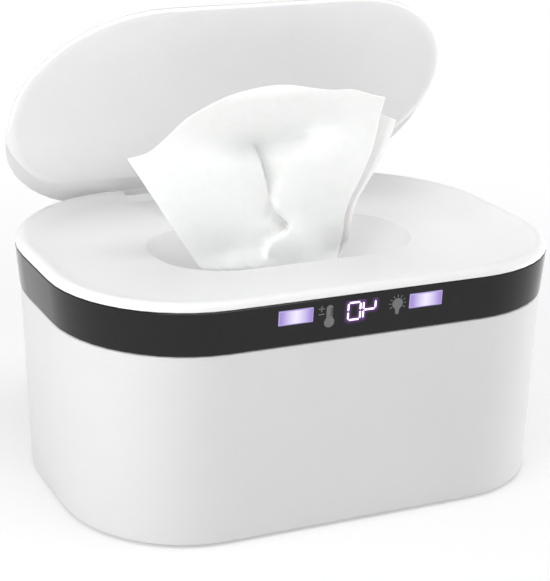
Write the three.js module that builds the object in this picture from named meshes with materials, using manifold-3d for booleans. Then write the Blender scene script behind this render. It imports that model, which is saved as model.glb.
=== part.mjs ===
// Baby wipe warmer: a tapered white housing with a heated tub, a gloss black band with a small
// display, a lift-off top cover with a dispensing bowl, and a flip lid that stays where it is put.
// Units are millimetres. X runs along the length, -Y is the display side, Z is up, and the origin
// lies on the surface that the feet stand on, under the middle of the whole object.
import * as THREE from "three";
import { mergeVertices } from "three/addons/utils/BufferGeometryUtils.js";
import Module from "manifold-3d";

const wasm = await Module();
wasm.setup();

// Driving dimensions of the body
const bodyLength = 230;
const bodyDepth = 176;
const frontCornerX = 57;
const frontCornerY = 63;
const rearCornerX = 69;
const rearCornerY = 76;
const wallHeight = 85.3;
const bandHeight = 18.8;
const rimHeight = 3.4;
const footDrop = 1.2;

// Clearances and counts
const fitGap = 0.3;
const runningGap = 0.5;
const cutOverrun = 3;
const cornerSegments = 12;
const roundSegments = 20;

// Outer housing
const housingWall = 2.4;
const housingFootInset = 4.4;
const housingTopInset = 1.9;
const housingEdge = 1.4;
const shoulderEdge = 0.4;
const neckWall = 2.2;
const neckLead = 0.6;
const ledgeReach = 3.4;
const ledgeDepth = 2;
const ledgeSlope = 5;
const postRadius = 4.5;
const postTopZ = 16.5;
const postWallBite = 1.6;

// Base plate, feet and screws
const basePlateRise = 0.4;
const basePlateThickness = 3;
const footRadius = 7;
const footRecess = 0.5;
const footBevel = 0.6;
const footPlaceInset = 40;
const screwHeadRadius = 2.8;
const screwHeadHeight = 1.2;
const screwShankRadius = 1.25;
const screwLength = 9.4;
const screwCountersink = 1.8;
const ventLength = 22;
const ventWidth = 2.2;
const ventPitch = 5.6;
const ventCount = 5;
const ventEndInset = 18;

// Inner tub
const tubTopInset = 13.2;
const tubFootInset = 15.2;
const tubWall = 2;
const tubFloorZ = 18;
const tubFloorRadius = 4;
const tubFlangeThickness = 1.8;

// Heater stack under the tub
const heaterLength = 150;
const heaterDepth = 92;
const heaterThickness = 1.5;
const heaterCorner = 12;
const filmLength = 128;
const filmDepth = 74;
const filmThickness = 0.6;
const padLength = 132;
const padRoomToBoard = 10;
const thermistorRadius = 1.5;
const thermistorLength = 6;
const fuseRadius = 2;
const fuseLength = 10;

// Control board and power inlet
const boardLength = 66;
const boardDepth = 26;
const boardThickness = 1.6;
const boardRearInset = 12;
const boardCentreX = 4;
const boardStandoff = 2.1;
const standoffRadius = 2.6;
const chipLength = 12;
const chipDepth = 8;
const chipHeight = 1.8;
const relayLength = 15;
const relayHeight = 5.5;
const jackWidth = 9.4;
const jackHeight = 8;
const jackBodyDepth = 12;
const jackCentreX = 26;
const jackNoseRadius = 3.9;
const jackBoreRadius = 2.9;
const jackBoreDepth = 9;
const jackPinRadius = 0.95;

// Band and display
const bandThickness = 3.6;
const bandDraft = 1.6;
const bandEdge = 0.3;
const windowWidth = 15.2;
const windowHeight = 6.2;
const windowCentreX = 29.8;
const windowCentreZ = 99;
const digitBlockWidth = 19;
const digitBlockHeight = 11;
const digitCentreZ = 98.2;
const displayBoardWidth = 92;
const displayBoardThickness = 1.6;
const displayBoardHeight = 14;
const neckWindowWidth = 82;
const neckWindowHeight = 12.4;

// Top cover
const beadWidth = 6.4;
const beadDrop = 1.1;
const beadFoot = 0.35;
const deckFloorDrop = 4.3;
const floorSideInset = 15;
const floorFrontInset = 19;
const floorRearInset = 11;
const floorFrontCorner = 52;
const floorRearCorner = 60;
const deckThickness = 2;
const bowlLength = 121;
const bowlFrontY = -38;
const bowlRearY = 28.5;
const bowlCorner = 30;
const bowlDepth = 20.4;
const bowlFootLength = 84;
const bowlFootDepth = 42;
const bowlLip = 1.3;
const bowlFillet = 5;
const mouthLength = 72;
const mouthDepth = 28;
const skirtInset = 12.2;
const skirtThickness = 2;
const skirtBottomZ = 90;
const locatorThickness = 1.8;
const locatorDepth = 2;
const sealFlange = 2.6;
const sealThickness = 1.4;
const sealSlotLength = 48;
const sealSlotDepth = 10;
const sealPlugDepth = 2.2;
const gasketWall = 0.8;
const gasketDepth = 1.1;
const gasketArm = 3;

// Lid and its hinge
const lidOpenAngle = 54;
const lidEndInset = 8.5;
const lidFrontY = -41.5;
const lidRearOverhang = 4;
const lidFrontCorner = 62;
const lidRearCorner = 58;
const lidEdgeThickness = 4.8;
const lidCrown = 1.1;
const lidEdgeRadius = 1.8;
const lidFaceLift = 2.6;
const lidRimClearance = 0.6;
const lidReliefDepth = 13;
const rimRoomReach = 40;
const linerHeight = 2.2;
const linerEdgeRadius = 1.8;
const linerDish = 0.8;
const linerDishReach = 12;
const hingeInset = 3.4;
const hingeDrop = 4.6;
const barrelRadius = 3.4;
const barrelLength = 87;
const pinRadius = 1.25;
const pinLength = 16;
const bushRadius = 2.2;
const bushLength = 8;
const knuckleWidth = 6;
const notchFloorGap = 1.1;
const leafThickness = 4.2;

// Wipes
const stackRoomAtEnds = 8.8;
const stackRoomAtSides = 17.8;
const stackHeight = 50;
const stackCorner = 14;
const stackCrown = 3;
const wipeThickness = 1.4;
const wipeFootZ = 79;
const wipeLipWidth = 66;
const wipeTopWidth = 122;
const wipeTopZ = 174;
const wipeCentreY = -5;
const wipeLeanX = -15;
const wipeCornerDropLeft = 25;
const wipeCornerDropRight = 9;
const wipePleat = 9;
const wipeColumns = 30;
const wipeRows = 16;

// Heights and places that follow from the sizes above
const housingBottomZ = footDrop;
const bandBottomZ = housingBottomZ + wallHeight;
const bandTopZ = bandBottomZ + bandHeight;
const shoulderZ = bandBottomZ - fitGap;
const coverBottomZ = bandTopZ + fitGap;
const rimTopZ = coverBottomZ + rimHeight;
const deckFloorZ = rimTopZ - deckFloorDrop;
const neckInset = bandThickness + fitGap;
const neckInnerInset = neckInset + neckWall;
const neckTopZ = bandTopZ - fitGap;
const ledgeInset = neckInnerInset + ledgeReach;
const basePlateZ = housingBottomZ + basePlateRise;
const basePlateTopZ = basePlateZ + basePlateThickness;
const flangeBottomZ = shoulderZ + fitGap;
const flangeTopZ = flangeBottomZ + tubFlangeThickness;
const hingeY = bodyDepth / 2 - hingeInset;
const hingeZ = bandTopZ - hingeDrop;
const lidLength = bodyLength - lidEndInset * 2;
const lidRearY = bodyDepth / 2 + lidRearOverhang;
const lidFaceZ = deckFloorZ + lidFaceLift;
const lidTopZ = lidFaceZ + lidEdgeThickness;
const lidStripZ = rimTopZ + lidRimClearance;
const bowlCentreY = (bowlFrontY + bowlRearY) / 2;
const bowlFloorZ = deckFloorZ - bowlDepth;
const halfBarrel = barrelLength / 2;
const notchHalf = halfBarrel + fitGap + knuckleWidth + fitGap;
const notchBottomZ = hingeZ - barrelRadius - notchFloorGap;
const notchFrontY = hingeY - barrelRadius - runningGap;
const tubInnerFloorZ = tubFloorZ + tubWall;
const stackLength = bodyLength - (tubFootInset + tubWall + stackRoomAtEnds) * 2;
const stackDepth = bodyDepth - (tubFootInset + tubWall + stackRoomAtSides) * 2;
const boardRearY = bodyDepth / 2 - boardRearInset;
const padDepth = (boardRearY - boardDepth - padRoomToBoard) * 2;
const footPlaceX = bodyLength / 2 - footPlaceInset;
const footPlaceY = bodyDepth / 2 - footPlaceInset;
const wipeFootWidth = sealSlotLength - fitGap * 2.5;

// Finishes
const finish = (color, roughness, metalness = 0) =>
  new THREE.MeshStandardMaterial({ color, roughness, metalness });
const whiteShell = finish(0xf2f2f2, 0.42);
const lidWhite = finish(0xf0f0f1, 0.4);
const linerGrey = finish(0xe9e9ea, 0.5);
const glossBlack = finish(0x161618, 0.08);
const tubGrey = finish(0xdadcde, 0.5);
const rubberGrey = finish(0x55575a, 0.85);
const silicone = finish(0xe4e6e6, 0.7);
const steel = finish(0xb9bcc0, 0.3, 1);
const aluminium = finish(0xc9ccd0, 0.35, 1);
const filmOrange = finish(0xc77a2a, 0.5);
const foamGrey = finish(0x8b8e90, 0.95);
const boardGreen = finish(0x1e6b45, 0.55);
const ledWhite = finish(0xe9e4f5, 0.35);
const litViolet = finish(0xb49be6, 0.2);
const clearGuide = finish(0xe8e6f2, 0.15);
const jackBlack = finish(0x202124, 0.5);
const wipeWhite = finish(0xf7f6f2, 0.95);
const acetal = finish(0xd8d8d4, 0.35);

// Geometry helpers

// Points round an outline with elliptical corners, the same number for any outline, anticlockwise
// from the rear right corner.
function outline({ halfLength, front, rear, frontCorner, rearCorner }) {
  const corners = [
    [1, 1, rearCorner, 0],
    [-1, 1, rearCorner, 1],
    [-1, -1, frontCorner, 2],
    [1, -1, frontCorner, 3],
  ];
  return corners.flatMap(([sideX, sideY, [radiusX, radiusY], quarter]) => {
    const centreX = sideX * (halfLength - radiusX);
    const centreY = sideY > 0 ? rear - radiusY : front + radiusY;
    return Array.from({ length: cornerSegments + 1 }, (_, step) => {
      const angle = ((quarter + step / cornerSegments) * Math.PI) / 2;
      return new THREE.Vector2(centreX + radiusX * Math.cos(angle), centreY + radiusY * Math.sin(angle));
    });
  });
}

const lift = (points, z) => points.map((p) => new THREE.Vector3(p.x, p.y, z));

// A ring of the body's outline, drawn in by an inset.
function bodyRing(inset, z) {
  const points = outline({
    halfLength: bodyLength / 2 - inset,
    front: inset - bodyDepth / 2,
    rear: bodyDepth / 2 - inset,
    frontCorner: [frontCornerX - inset, frontCornerY - inset],
    rearCorner: [rearCornerX - inset, rearCornerY - inset],
  });
  return lift(points, z);
}

// A ring with equal corners, between a front and a rear edge.
function plateRing(length, front, rear, corner, z) {
  const limit = Math.min(corner, length / 2, (rear - front) / 2);
  const corners = [limit, limit];
  return lift(outline({ halfLength: length / 2, front, rear, frontCorner: corners, rearCorner: corners }), z);
}

// The signed volume of an indexed triangle list, six times over.
function signedVolume(positions, index) {
  const [a, b, c] = [new THREE.Vector3(), new THREE.Vector3(), new THREE.Vector3()];
  let sum = 0;
  for (let i = 0; i < index.length; i += 3) {
    a.fromArray(positions, index[i] * 3);
    b.fromArray(positions, index[i + 1] * 3);
    c.fromArray(positions, index[i + 2] * 3);
    sum += a.dot(b.cross(c));
  }
  return sum;
}

// A closed skin over rings of equal count. A looped skin joins its last ring to its first, and any
// other has its first and last rings filled.
function loft(rings, looped = false) {
  const count = rings[0].length;
  const positions = rings.flat().flatMap((p) => p.toArray());
  const index = [];
  const bands = looped ? rings.length : rings.length - 1;
  for (let k = 0; k < bands; k += 1) {
    const low = k * count;
    const high = ((k + 1) % rings.length) * count;
    for (let i = 0; i < count; i += 1) {
      const next = (i + 1) % count;
      index.push(low + i, low + next, high + next, low + i, high + next, high + i);
    }
  }
  if (!looped) {
    const fill = (k, flip) => {
      const flat = rings[k].map((p) => new THREE.Vector2(p.x, p.y));
      for (const [a, b, c] of THREE.ShapeUtils.triangulateShape(flat, [])) {
        const base = k * count;
        index.push(base + a, base + (flip ? c : b), base + (flip ? b : c));
      }
    };
    fill(0, true);
    fill(rings.length - 1, false);
  }
  if (signedVolume(positions, index) < 0) {
    for (let i = 0; i < index.length; i += 3) {
      [index[i + 1], index[i + 2]] = [index[i + 2], index[i + 1]];
    }
  }
  const geometry = new THREE.BufferGeometry();
  geometry.setAttribute("position", new THREE.Float32BufferAttribute(positions, 3));
  geometry.setIndex(index);
  return geometry;
}

function block(x0, x1, y0, y1, z0, z1) {
  const geometry = new THREE.BoxGeometry(x1 - x0, y1 - y0, z1 - z0);
  return geometry.translate((x0 + x1) / 2, (y0 + y1) / 2, (z0 + z1) / 2);
}

// A block centred on X and Z, between two Y planes.
const panel = (centreX, width, y0, y1, centreZ, height) =>
  block(centreX - width / 2, centreX + width / 2, y0, y1, centreZ - height / 2, centreZ + height / 2);

// An upright turned solid from [radius, height] pairs that start and end on the axis.
function turned(pairs, x = 0, y = 0) {
  const profile = pairs.map(([radius, height]) => new THREE.Vector2(radius, height));
  return new THREE.LatheGeometry(profile, roundSegments).rotateX(Math.PI / 2).translate(x, y, 0);
}

const upright = (radius, x, y, z0, z1) => turned([[0, z0], [radius, z0], [radius, z1], [0, z1]], x, y);

// A rod along X or Y between two planes.
function rodAlongX(radius, x0, x1, y, z) {
  return new THREE.CylinderGeometry(radius, radius, x1 - x0, roundSegments)
    .rotateZ(Math.PI / 2)
    .translate((x0 + x1) / 2, y, z);
}

function rodAlongY(radius, x, y0, y1, z) {
  return new THREE.CylinderGeometry(radius, radius, y1 - y0, roundSegments).translate(x, (y0 + y1) / 2, z);
}

// A closed geometry as a solid that can be joined and cut.
function solid(geometry) {
  const bare = geometry.index ? geometry.toNonIndexed() : geometry.clone();
  bare.deleteAttribute("normal");
  bare.deleteAttribute("uv");
  const merged = mergeVertices(bare, 1e-4);
  return new wasm.Manifold(
    new wasm.Mesh({
      numProp: 3,
      vertProperties: merged.attributes.position.array,
      triVerts: new Uint32Array(merged.index.array),
    }),
  );
}

const joined = (first, ...others) => others.reduce((sum, g) => sum.add(solid(g)), solid(first));

const cut = (body, ...tools) => tools.reduce((rest, g) => rest.subtract(solid(g)), body);

function geometryOf(body) {
  const mesh = body.getMesh();
  const geometry = new THREE.BufferGeometry();
  geometry.setAttribute("position", new THREE.BufferAttribute(mesh.vertProperties, mesh.numProp));
  geometry.setIndex(new THREE.BufferAttribute(mesh.triVerts, 1));
  return geometry;
}

function addPart(parent, name, material, shape) {
  const geometry = shape.isBufferGeometry ? shape : geometryOf(shape);
  geometry.computeVertexNormals();
  const mesh = new THREE.Mesh(geometry, material);
  mesh.name = name;
  parent.add(mesh);
  return mesh;
}

// Places that several pieces share

// The four screw posts stand in the housing's corners, biting into its wall.
const postInset = housingFootInset + housingWall + postRadius - postWallBite;
const screwPlaces = [
  ["front_left", -1, -1],
  ["front_right", 1, -1],
  ["rear_left", -1, 1],
  ["rear_right", 1, 1],
].map(([label, sideX, sideY]) => {
  const radiusX = sideY > 0 ? rearCornerX : frontCornerX;
  const radiusY = sideY > 0 ? rearCornerY : frontCornerY;
  const x = sideX * (bodyLength / 2 - radiusX + (radiusX - postInset) * Math.SQRT1_2);
  const y = sideY * (bodyDepth / 2 - radiusY + (radiusY - postInset) * Math.SQRT1_2);
  return { label, x, y, footX: sideX * footPlaceX, footY: sideY * footPlaceY };
});
const screwHeadZ = basePlateZ + fitGap;
const screwSeatZ = screwHeadZ + screwHeadHeight + fitGap;
const screwTipZ = screwHeadZ + screwLength;

// The inlet lies on its board, and its nose comes through the rear wall.
const boardZ = basePlateTopZ + boardStandoff + fitGap;
const boardTopZ = boardZ + boardThickness;
const jackZ = boardTopZ + fitGap + jackHeight / 2;
const wallInsetAt = (z) =>
  THREE.MathUtils.mapLinear(z, housingBottomZ, shoulderZ, housingFootInset, housingTopInset);
const rearWallY = bodyDepth / 2 - wallInsetAt(jackZ);
const jackFaceY = rearWallY - fitGap;
const jackShoulderY = rearWallY - housingWall - fitGap;

// The front of the neck and of the display pieces
const neckFrontY = neckInset - bodyDepth / 2;
const neckInnerY = neckInnerInset - bodyDepth / 2;
const bandInnerY = bandThickness - bodyDepth / 2;
const displayBoardY = neckInnerY + fitGap;

// The base of the warmer
const base = new THREE.Group();

function outerHousing() {
  const wallInnerFoot = housingFootInset + housingWall;
  const wallInnerTop = housingTopInset + housingWall;
  const shell = loft(
    [
      bodyRing(housingFootInset + housingEdge, housingBottomZ),
      bodyRing(housingFootInset + housingEdge * 0.3, housingBottomZ + housingEdge * 0.3),
      bodyRing(housingFootInset, housingBottomZ + housingEdge),
      bodyRing(housingTopInset, shoulderZ - shoulderEdge),
      bodyRing(housingTopInset + shoulderEdge, shoulderZ),
      bodyRing(neckInset, shoulderZ),
      bodyRing(neckInset, neckTopZ - neckLead),
      bodyRing(neckInset + neckLead, neckTopZ),
      bodyRing(neckInnerInset, neckTopZ),
      bodyRing(neckInnerInset, shoulderZ),
      bodyRing(ledgeInset, shoulderZ),
      bodyRing(ledgeInset, shoulderZ - ledgeDepth),
      bodyRing(wallInnerTop, shoulderZ - ledgeDepth - ledgeSlope),
      bodyRing(wallInnerFoot, housingBottomZ),
    ],
    true,
  );
  const posts = screwPlaces.map(({ x, y }) => upright(postRadius, x, y, basePlateTopZ + fitGap, postTopZ));
  const pilots = screwPlaces.map(({ x, y }) =>
    upright(screwShankRadius + fitGap, x, y, basePlateTopZ - cutOverrun, screwTipZ + fitGap),
  );
  const displayOpening = panel(
    0,
    neckWindowWidth,
    neckFrontY - cutOverrun,
    neckInnerY + cutOverrun,
    digitCentreZ,
    neckWindowHeight,
  );
  const hingeNotch = block(
    -notchHalf,
    notchHalf,
    notchFrontY,
    bodyDepth / 2 + cutOverrun,
    notchBottomZ,
    bandTopZ + cutOverrun,
  );
  const jackHole = rodAlongY(
    jackNoseRadius + fitGap,
    jackCentreX,
    jackShoulderY - cutOverrun,
    rearWallY + cutOverrun,
    jackZ,
  );
  return cut(joined(shell, ...posts), ...pilots, displayOpening, hingeNotch, jackHole);
}

function basePlate() {
  const inset = housingFootInset + housingWall + fitGap;
  const standoffX = boardLength / 2 - standoffRadius * 2;
  const standoffs = [-1, 1].flatMap((sideX) =>
    [boardRearY - boardDepth + standoffRadius * 2, boardRearY - standoffRadius * 2].map((y) =>
      upright(standoffRadius, boardCentreX + sideX * standoffX, y, basePlateTopZ - fitGap, boardZ - fitGap),
    ),
  );
  const plate = joined(loft([bodyRing(inset, basePlateZ), bodyRing(inset, basePlateTopZ)]), ...standoffs);
  const holes = screwPlaces.flatMap(({ x, y, footX, footY }) => [
    upright(screwHeadRadius + fitGap, x, y, basePlateZ - cutOverrun, screwSeatZ),
    upright(screwShankRadius + fitGap, x, y, basePlateZ - cutOverrun, basePlateTopZ + cutOverrun),
    upright(footRadius + fitGap, footX, footY, basePlateZ - cutOverrun, basePlateZ + footRecess),
  ]);
  const vents = [-1, 1].flatMap((side) =>
    Array.from({ length: ventCount }, (_, k) => {
      const y = (k - (ventCount - 1) / 2) * ventPitch;
      const outerX = side * (bodyLength / 2 - ventEndInset);
      const innerX = outerX - side * ventLength;
      return block(
        Math.min(innerX, outerX),
        Math.max(innerX, outerX),
        y - ventWidth / 2,
        y + ventWidth / 2,
        basePlateZ - cutOverrun,
        basePlateTopZ + cutOverrun,
      );
    }),
  );
  return cut(plate, ...holes, ...vents);
}

function foot(x, y) {
  const topZ = basePlateZ + footRecess - fitGap;
  return turned([[0, 0], [footRadius - footBevel, 0], [footRadius, footBevel], [footRadius, topZ], [0, topZ]], x, y);
}

function screw(x, y) {
  const neckZ = screwHeadZ + screwHeadHeight;
  const tip = screwShankRadius / 2;
  return turned(
    [
      [0, screwHeadZ],
      [screwHeadRadius * 0.7, screwHeadZ],
      [screwHeadRadius, screwHeadZ + screwHeadHeight / 2],
      [screwHeadRadius, neckZ],
      [screwShankRadius, neckZ],
      [screwShankRadius, screwTipZ - screwCountersink],
      [tip, screwTipZ],
      [0, screwTipZ],
    ],
    x,
    y,
  );
}

function innerTub() {
  const flangeInset = neckInnerInset + runningGap;
  const innerTop = tubTopInset + tubWall;
  const innerFoot = tubFootInset + tubWall;
  const soft = tubFloorRadius * 0.3;
  return loft([
    bodyRing(tubFootInset + tubFloorRadius, tubFloorZ),
    bodyRing(tubFootInset + soft, tubFloorZ + soft),
    bodyRing(tubFootInset, tubFloorZ + tubFloorRadius),
    bodyRing(tubTopInset, flangeBottomZ),
    bodyRing(flangeInset, flangeBottomZ),
    bodyRing(flangeInset, flangeTopZ),
    bodyRing(innerTop, flangeTopZ),
    bodyRing(innerFoot, tubInnerFloorZ + tubFloorRadius),
    bodyRing(innerFoot + soft, tubInnerFloorZ + soft),
    bodyRing(innerFoot + tubFloorRadius, tubInnerFloorZ),
  ]);
}

const plate = (length, depth, corner, z0, z1) =>
  loft([plateRing(length, -depth / 2, depth / 2, corner, z0), plateRing(length, -depth / 2, depth / 2, corner, z1)]);

const heaterTopZ = tubFloorZ - fitGap;
const heaterBottomZ = heaterTopZ - heaterThickness;
const filmTopZ = heaterBottomZ - fitGap;
const filmBottomZ = filmTopZ - filmThickness;
const sensorX = (padLength + heaterLength) / 4;

function controlBoard() {
  const frontY = boardRearY - boardDepth;
  const leftX = boardCentreX - boardLength / 2;
  const body = block(leftX, leftX + boardLength, frontY, boardRearY, boardZ, boardTopZ);
  const margin = standoffRadius;
  const chip = block(
    leftX + margin,
    leftX + margin + chipLength,
    frontY + margin,
    frontY + margin + chipDepth,
    boardTopZ - fitGap,
    boardTopZ + chipHeight,
  );
  const relayX = leftX + margin * 2 + chipLength;
  const relay = block(
    relayX,
    relayX + relayLength,
    frontY + margin,
    frontY + margin + relayLength,
    boardTopZ - fitGap,
    boardTopZ + relayHeight,
  );
  return joined(body, chip, relay);
}

function dcJack() {
  const body = panel(jackCentreX, jackWidth, jackShoulderY - jackBodyDepth, jackShoulderY, jackZ, jackHeight);
  const nose = rodAlongY(jackNoseRadius, jackCentreX, jackShoulderY - jackBodyDepth / 2, jackFaceY, jackZ);
  const boreStartY = jackFaceY - jackBoreDepth;
  const bore = rodAlongY(jackBoreRadius, jackCentreX, boreStartY, jackFaceY + cutOverrun, jackZ);
  const pin = rodAlongY(jackPinRadius, jackCentreX, boreStartY - jackPinRadius, jackFaceY - jackPinRadius, jackZ);
  return cut(joined(body, nose), bore).add(solid(pin));
}

// The band's ring before its openings are cut
function bandRing() {
  return solid(
    loft(
      [
        bodyRing(bandDraft + bandEdge, bandBottomZ),
        bodyRing(bandDraft, bandBottomZ + bandEdge),
        bodyRing(0, bandTopZ - bandEdge),
        bodyRing(bandEdge, bandTopZ),
        bodyRing(bandThickness, bandTopZ),
        bodyRing(bandThickness, bandBottomZ),
      ],
      true,
    ),
  );
}

const windowThrough = (centreX, margin) =>
  panel(
    centreX,
    windowWidth + margin * 2,
    -bodyDepth / 2 - cutOverrun,
    bandInnerY + cutOverrun,
    windowCentreZ,
    windowHeight + margin * 2,
  );

function accentBand() {
  const notch = block(
    -notchHalf,
    notchHalf,
    0,
    bodyDepth / 2 + cutOverrun,
    notchBottomZ,
    bandTopZ + cutOverrun,
  );
  return cut(bandRing(), windowThrough(-windowCentreX, fitGap), windowThrough(windowCentreX, fitGap), notch);
}

const lightWindow = (centreX) => bandRing().intersect(solid(windowThrough(centreX, 0)));

const lightGuide = (centreX) =>
  panel(centreX, windowWidth, bandInnerY + fitGap, displayBoardY - fitGap, windowCentreZ, windowHeight);

const digitBlock = () =>
  panel(0, digitBlockWidth, bandInnerY + fitGap, displayBoardY - fitGap, digitCentreZ, digitBlockHeight);

const displayBoard = () =>
  block(
    -displayBoardWidth / 2,
    displayBoardWidth / 2,
    displayBoardY,
    displayBoardY + displayBoardThickness,
    flangeTopZ + fitGap,
    flangeTopZ + fitGap + displayBoardHeight,
  );

// A folded stack of wipes, crowned a little on top
function wipeStack() {
  const bottomZ = tubInnerFloorZ + fitGap;
  const topZ = bottomZ + stackHeight;
  const ring = (shrink, z) =>
    plateRing(
      stackLength - shrink * 2,
      shrink - stackDepth / 2,
      stackDepth / 2 - shrink,
      stackCorner,
      z,
    );
  return loft([
    ring(stackCrown, bottomZ),
    ring(0, bottomZ + stackCrown),
    ring(0, topZ - stackCrown),
    ring(stackCrown, topZ - stackCrown / 2),
    ring(stackDepth / 4, topZ),
  ]);
}

addPart(base, "outer_housing", whiteShell, outerHousing());
addPart(base, "base_plate", whiteShell, basePlate());
for (const { label, x, y, footX, footY } of screwPlaces) {
  addPart(base, `foot_${label}`, rubberGrey, foot(footX, footY));
  addPart(base, `base_screw_${label}`, steel, screw(x, y));
}
addPart(base, "inner_tub", tubGrey, innerTub());
addPart(base, "heater_plate", aluminium, plate(heaterLength, heaterDepth, heaterCorner, heaterBottomZ, heaterTopZ));
addPart(base, "heater_film", filmOrange, plate(filmLength, filmDepth, heaterCorner, filmBottomZ, filmTopZ));
addPart(
  base,
  "insulation_pad",
  foamGrey,
  plate(padLength, padDepth, heaterCorner, basePlateTopZ + fitGap, filmBottomZ - fitGap),
);
addPart(
  base,
  "thermistor",
  jackBlack,
  rodAlongY(
    thermistorRadius,
    -sensorX,
    -thermistorLength / 2,
    thermistorLength / 2,
    heaterBottomZ - fitGap - thermistorRadius,
  ),
);
addPart(
  base,
  "thermal_fuse",
  steel,
  rodAlongY(fuseRadius, sensorX, -fuseLength / 2, fuseLength / 2, heaterBottomZ - fitGap - fuseRadius),
);
addPart(base, "control_board", boardGreen, controlBoard());
addPart(base, "dc_jack", jackBlack, dcJack());
addPart(base, "accent_band", glossBlack, accentBand());
for (const [label, side] of [["left", -1], ["right", 1]]) {
  addPart(base, `light_window_${label}`, litViolet, lightWindow(side * windowCentreX));
  addPart(base, `light_guide_${label}`, clearGuide, lightGuide(side * windowCentreX));
}
addPart(base, "digit_display", ledWhite, digitBlock());
addPart(base, "display_board", boardGreen, displayBoard());
addPart(base, "wipe_stack", wipeWhite, wipeStack());

// The top cover, which lifts off for loading
const topCover = new THREE.Group();

// The flat floor's outline lies nearer to the rear than the rim's, so the front slope is the wider.
function floorRing(grow, z) {
  const points = outline({
    halfLength: bodyLength / 2 - floorSideInset + grow,
    front: floorFrontInset - bodyDepth / 2 - grow,
    rear: bodyDepth / 2 - floorRearInset + grow,
    frontCorner: [floorFrontCorner + grow, floorFrontCorner + grow],
    rearCorner: [floorRearCorner + grow, floorRearCorner + grow],
  });
  return lift(points, z);
}

const bowlRing = (grow, z) =>
  plateRing(bowlLength + grow * 2, bowlFrontY - grow, bowlRearY + grow, bowlCorner + grow, z);

const ovalRing = (length, depth, z) =>
  plateRing(length, bowlCentreY - depth / 2, bowlCentreY + depth / 2, depth / 2, z);

function coverDeck() {
  const deckBottomZ = deckFloorZ - deckThickness;
  const bowlBottomZ = bowlFloorZ - deckThickness;
  const footGrow = deckThickness * 2;
  const locatorInset = neckInnerInset + runningGap;
  const shell = loft(
    [
      bodyRing(beadFoot, coverBottomZ),
      bodyRing(0, coverBottomZ + beadFoot),
      bodyRing(beadFoot, rimTopZ - beadDrop * 2),
      bodyRing(beadWidth * 0.18, rimTopZ - beadDrop * 0.9),
      bodyRing(beadWidth * 0.38, rimTopZ - beadDrop * 0.2),
      bodyRing(beadWidth * 0.6, rimTopZ),
      bodyRing(beadWidth * 0.84, rimTopZ - beadDrop * 0.35),
      bodyRing(beadWidth, rimTopZ - beadDrop),
      floorRing(0, deckFloorZ),
      bowlRing(bowlLip, deckFloorZ),
      bowlRing(bowlLip * 0.3, deckFloorZ - bowlLip * 0.3),
      bowlRing(0, deckFloorZ - bowlLip),
      ovalRing(bowlFootLength + bowlFillet, bowlFootDepth + bowlFillet, bowlFloorZ + bowlFillet),
      ovalRing(bowlFootLength - bowlFillet, bowlFootDepth - bowlFillet, bowlFloorZ),
      ovalRing(mouthLength, mouthDepth, bowlFloorZ),
      ovalRing(mouthLength, mouthDepth, bowlBottomZ),
      ovalRing(bowlFootLength, bowlFootDepth, bowlBottomZ),
      ovalRing(bowlFootLength + bowlFillet + footGrow, bowlFootDepth + bowlFillet + footGrow, bowlFloorZ + bowlFillet),
      bowlRing(deckThickness, deckBottomZ),
      bodyRing(skirtInset + skirtThickness, deckBottomZ),
      bodyRing(skirtInset + skirtThickness, skirtBottomZ),
      bodyRing(skirtInset, skirtBottomZ),
      bodyRing(skirtInset, deckBottomZ),
      bodyRing(locatorInset + locatorThickness, coverBottomZ - locatorDepth),
      bodyRing(locatorInset, coverBottomZ - locatorDepth),
      bodyRing(locatorInset, coverBottomZ),
    ],
    true,
  );
  const notch = block(
    -halfBarrel - fitGap,
    halfBarrel + fitGap,
    notchFrontY,
    bodyDepth / 2 + cutOverrun,
    notchBottomZ,
    rimTopZ + cutOverrun,
  );
  const knuckles = [-1, 1].map((side) => {
    const inner = halfBarrel + fitGap;
    const [x0, x1] = side > 0 ? [inner, inner + knuckleWidth] : [-inner - knuckleWidth, -inner];
    return block(x0, x1, notchFrontY + fitGap, hingeY + pinRadius * 2, hingeZ - barrelRadius, coverBottomZ + beadFoot);
  });
  const pinHoles = rodAlongX(pinRadius + fitGap, -notchHalf - cutOverrun, notchHalf + cutOverrun, hingeY, hingeZ);
  return cut(cut(solid(shell), notch).add(joined(...knuckles)), pinHoles);
}

// A channel of silicone that grips the foot of the cover's skirt
function coverGasket() {
  const outer = skirtInset - fitGap - gasketWall;
  const inner = skirtInset + skirtThickness + fitGap + gasketWall;
  const floorTopZ = skirtBottomZ - fitGap;
  const bottomZ = floorTopZ - gasketDepth;
  return loft(
    [
      bodyRing(outer, bottomZ),
      bodyRing(outer, skirtBottomZ + gasketArm),
      bodyRing(outer + gasketWall, skirtBottomZ + gasketArm),
      bodyRing(outer + gasketWall, floorTopZ),
      bodyRing(inner - gasketWall, floorTopZ),
      bodyRing(inner - gasketWall, skirtBottomZ + gasketArm),
      bodyRing(inner, skirtBottomZ + gasketArm),
      bodyRing(inner, bottomZ),
    ],
    true,
  );
}

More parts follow.
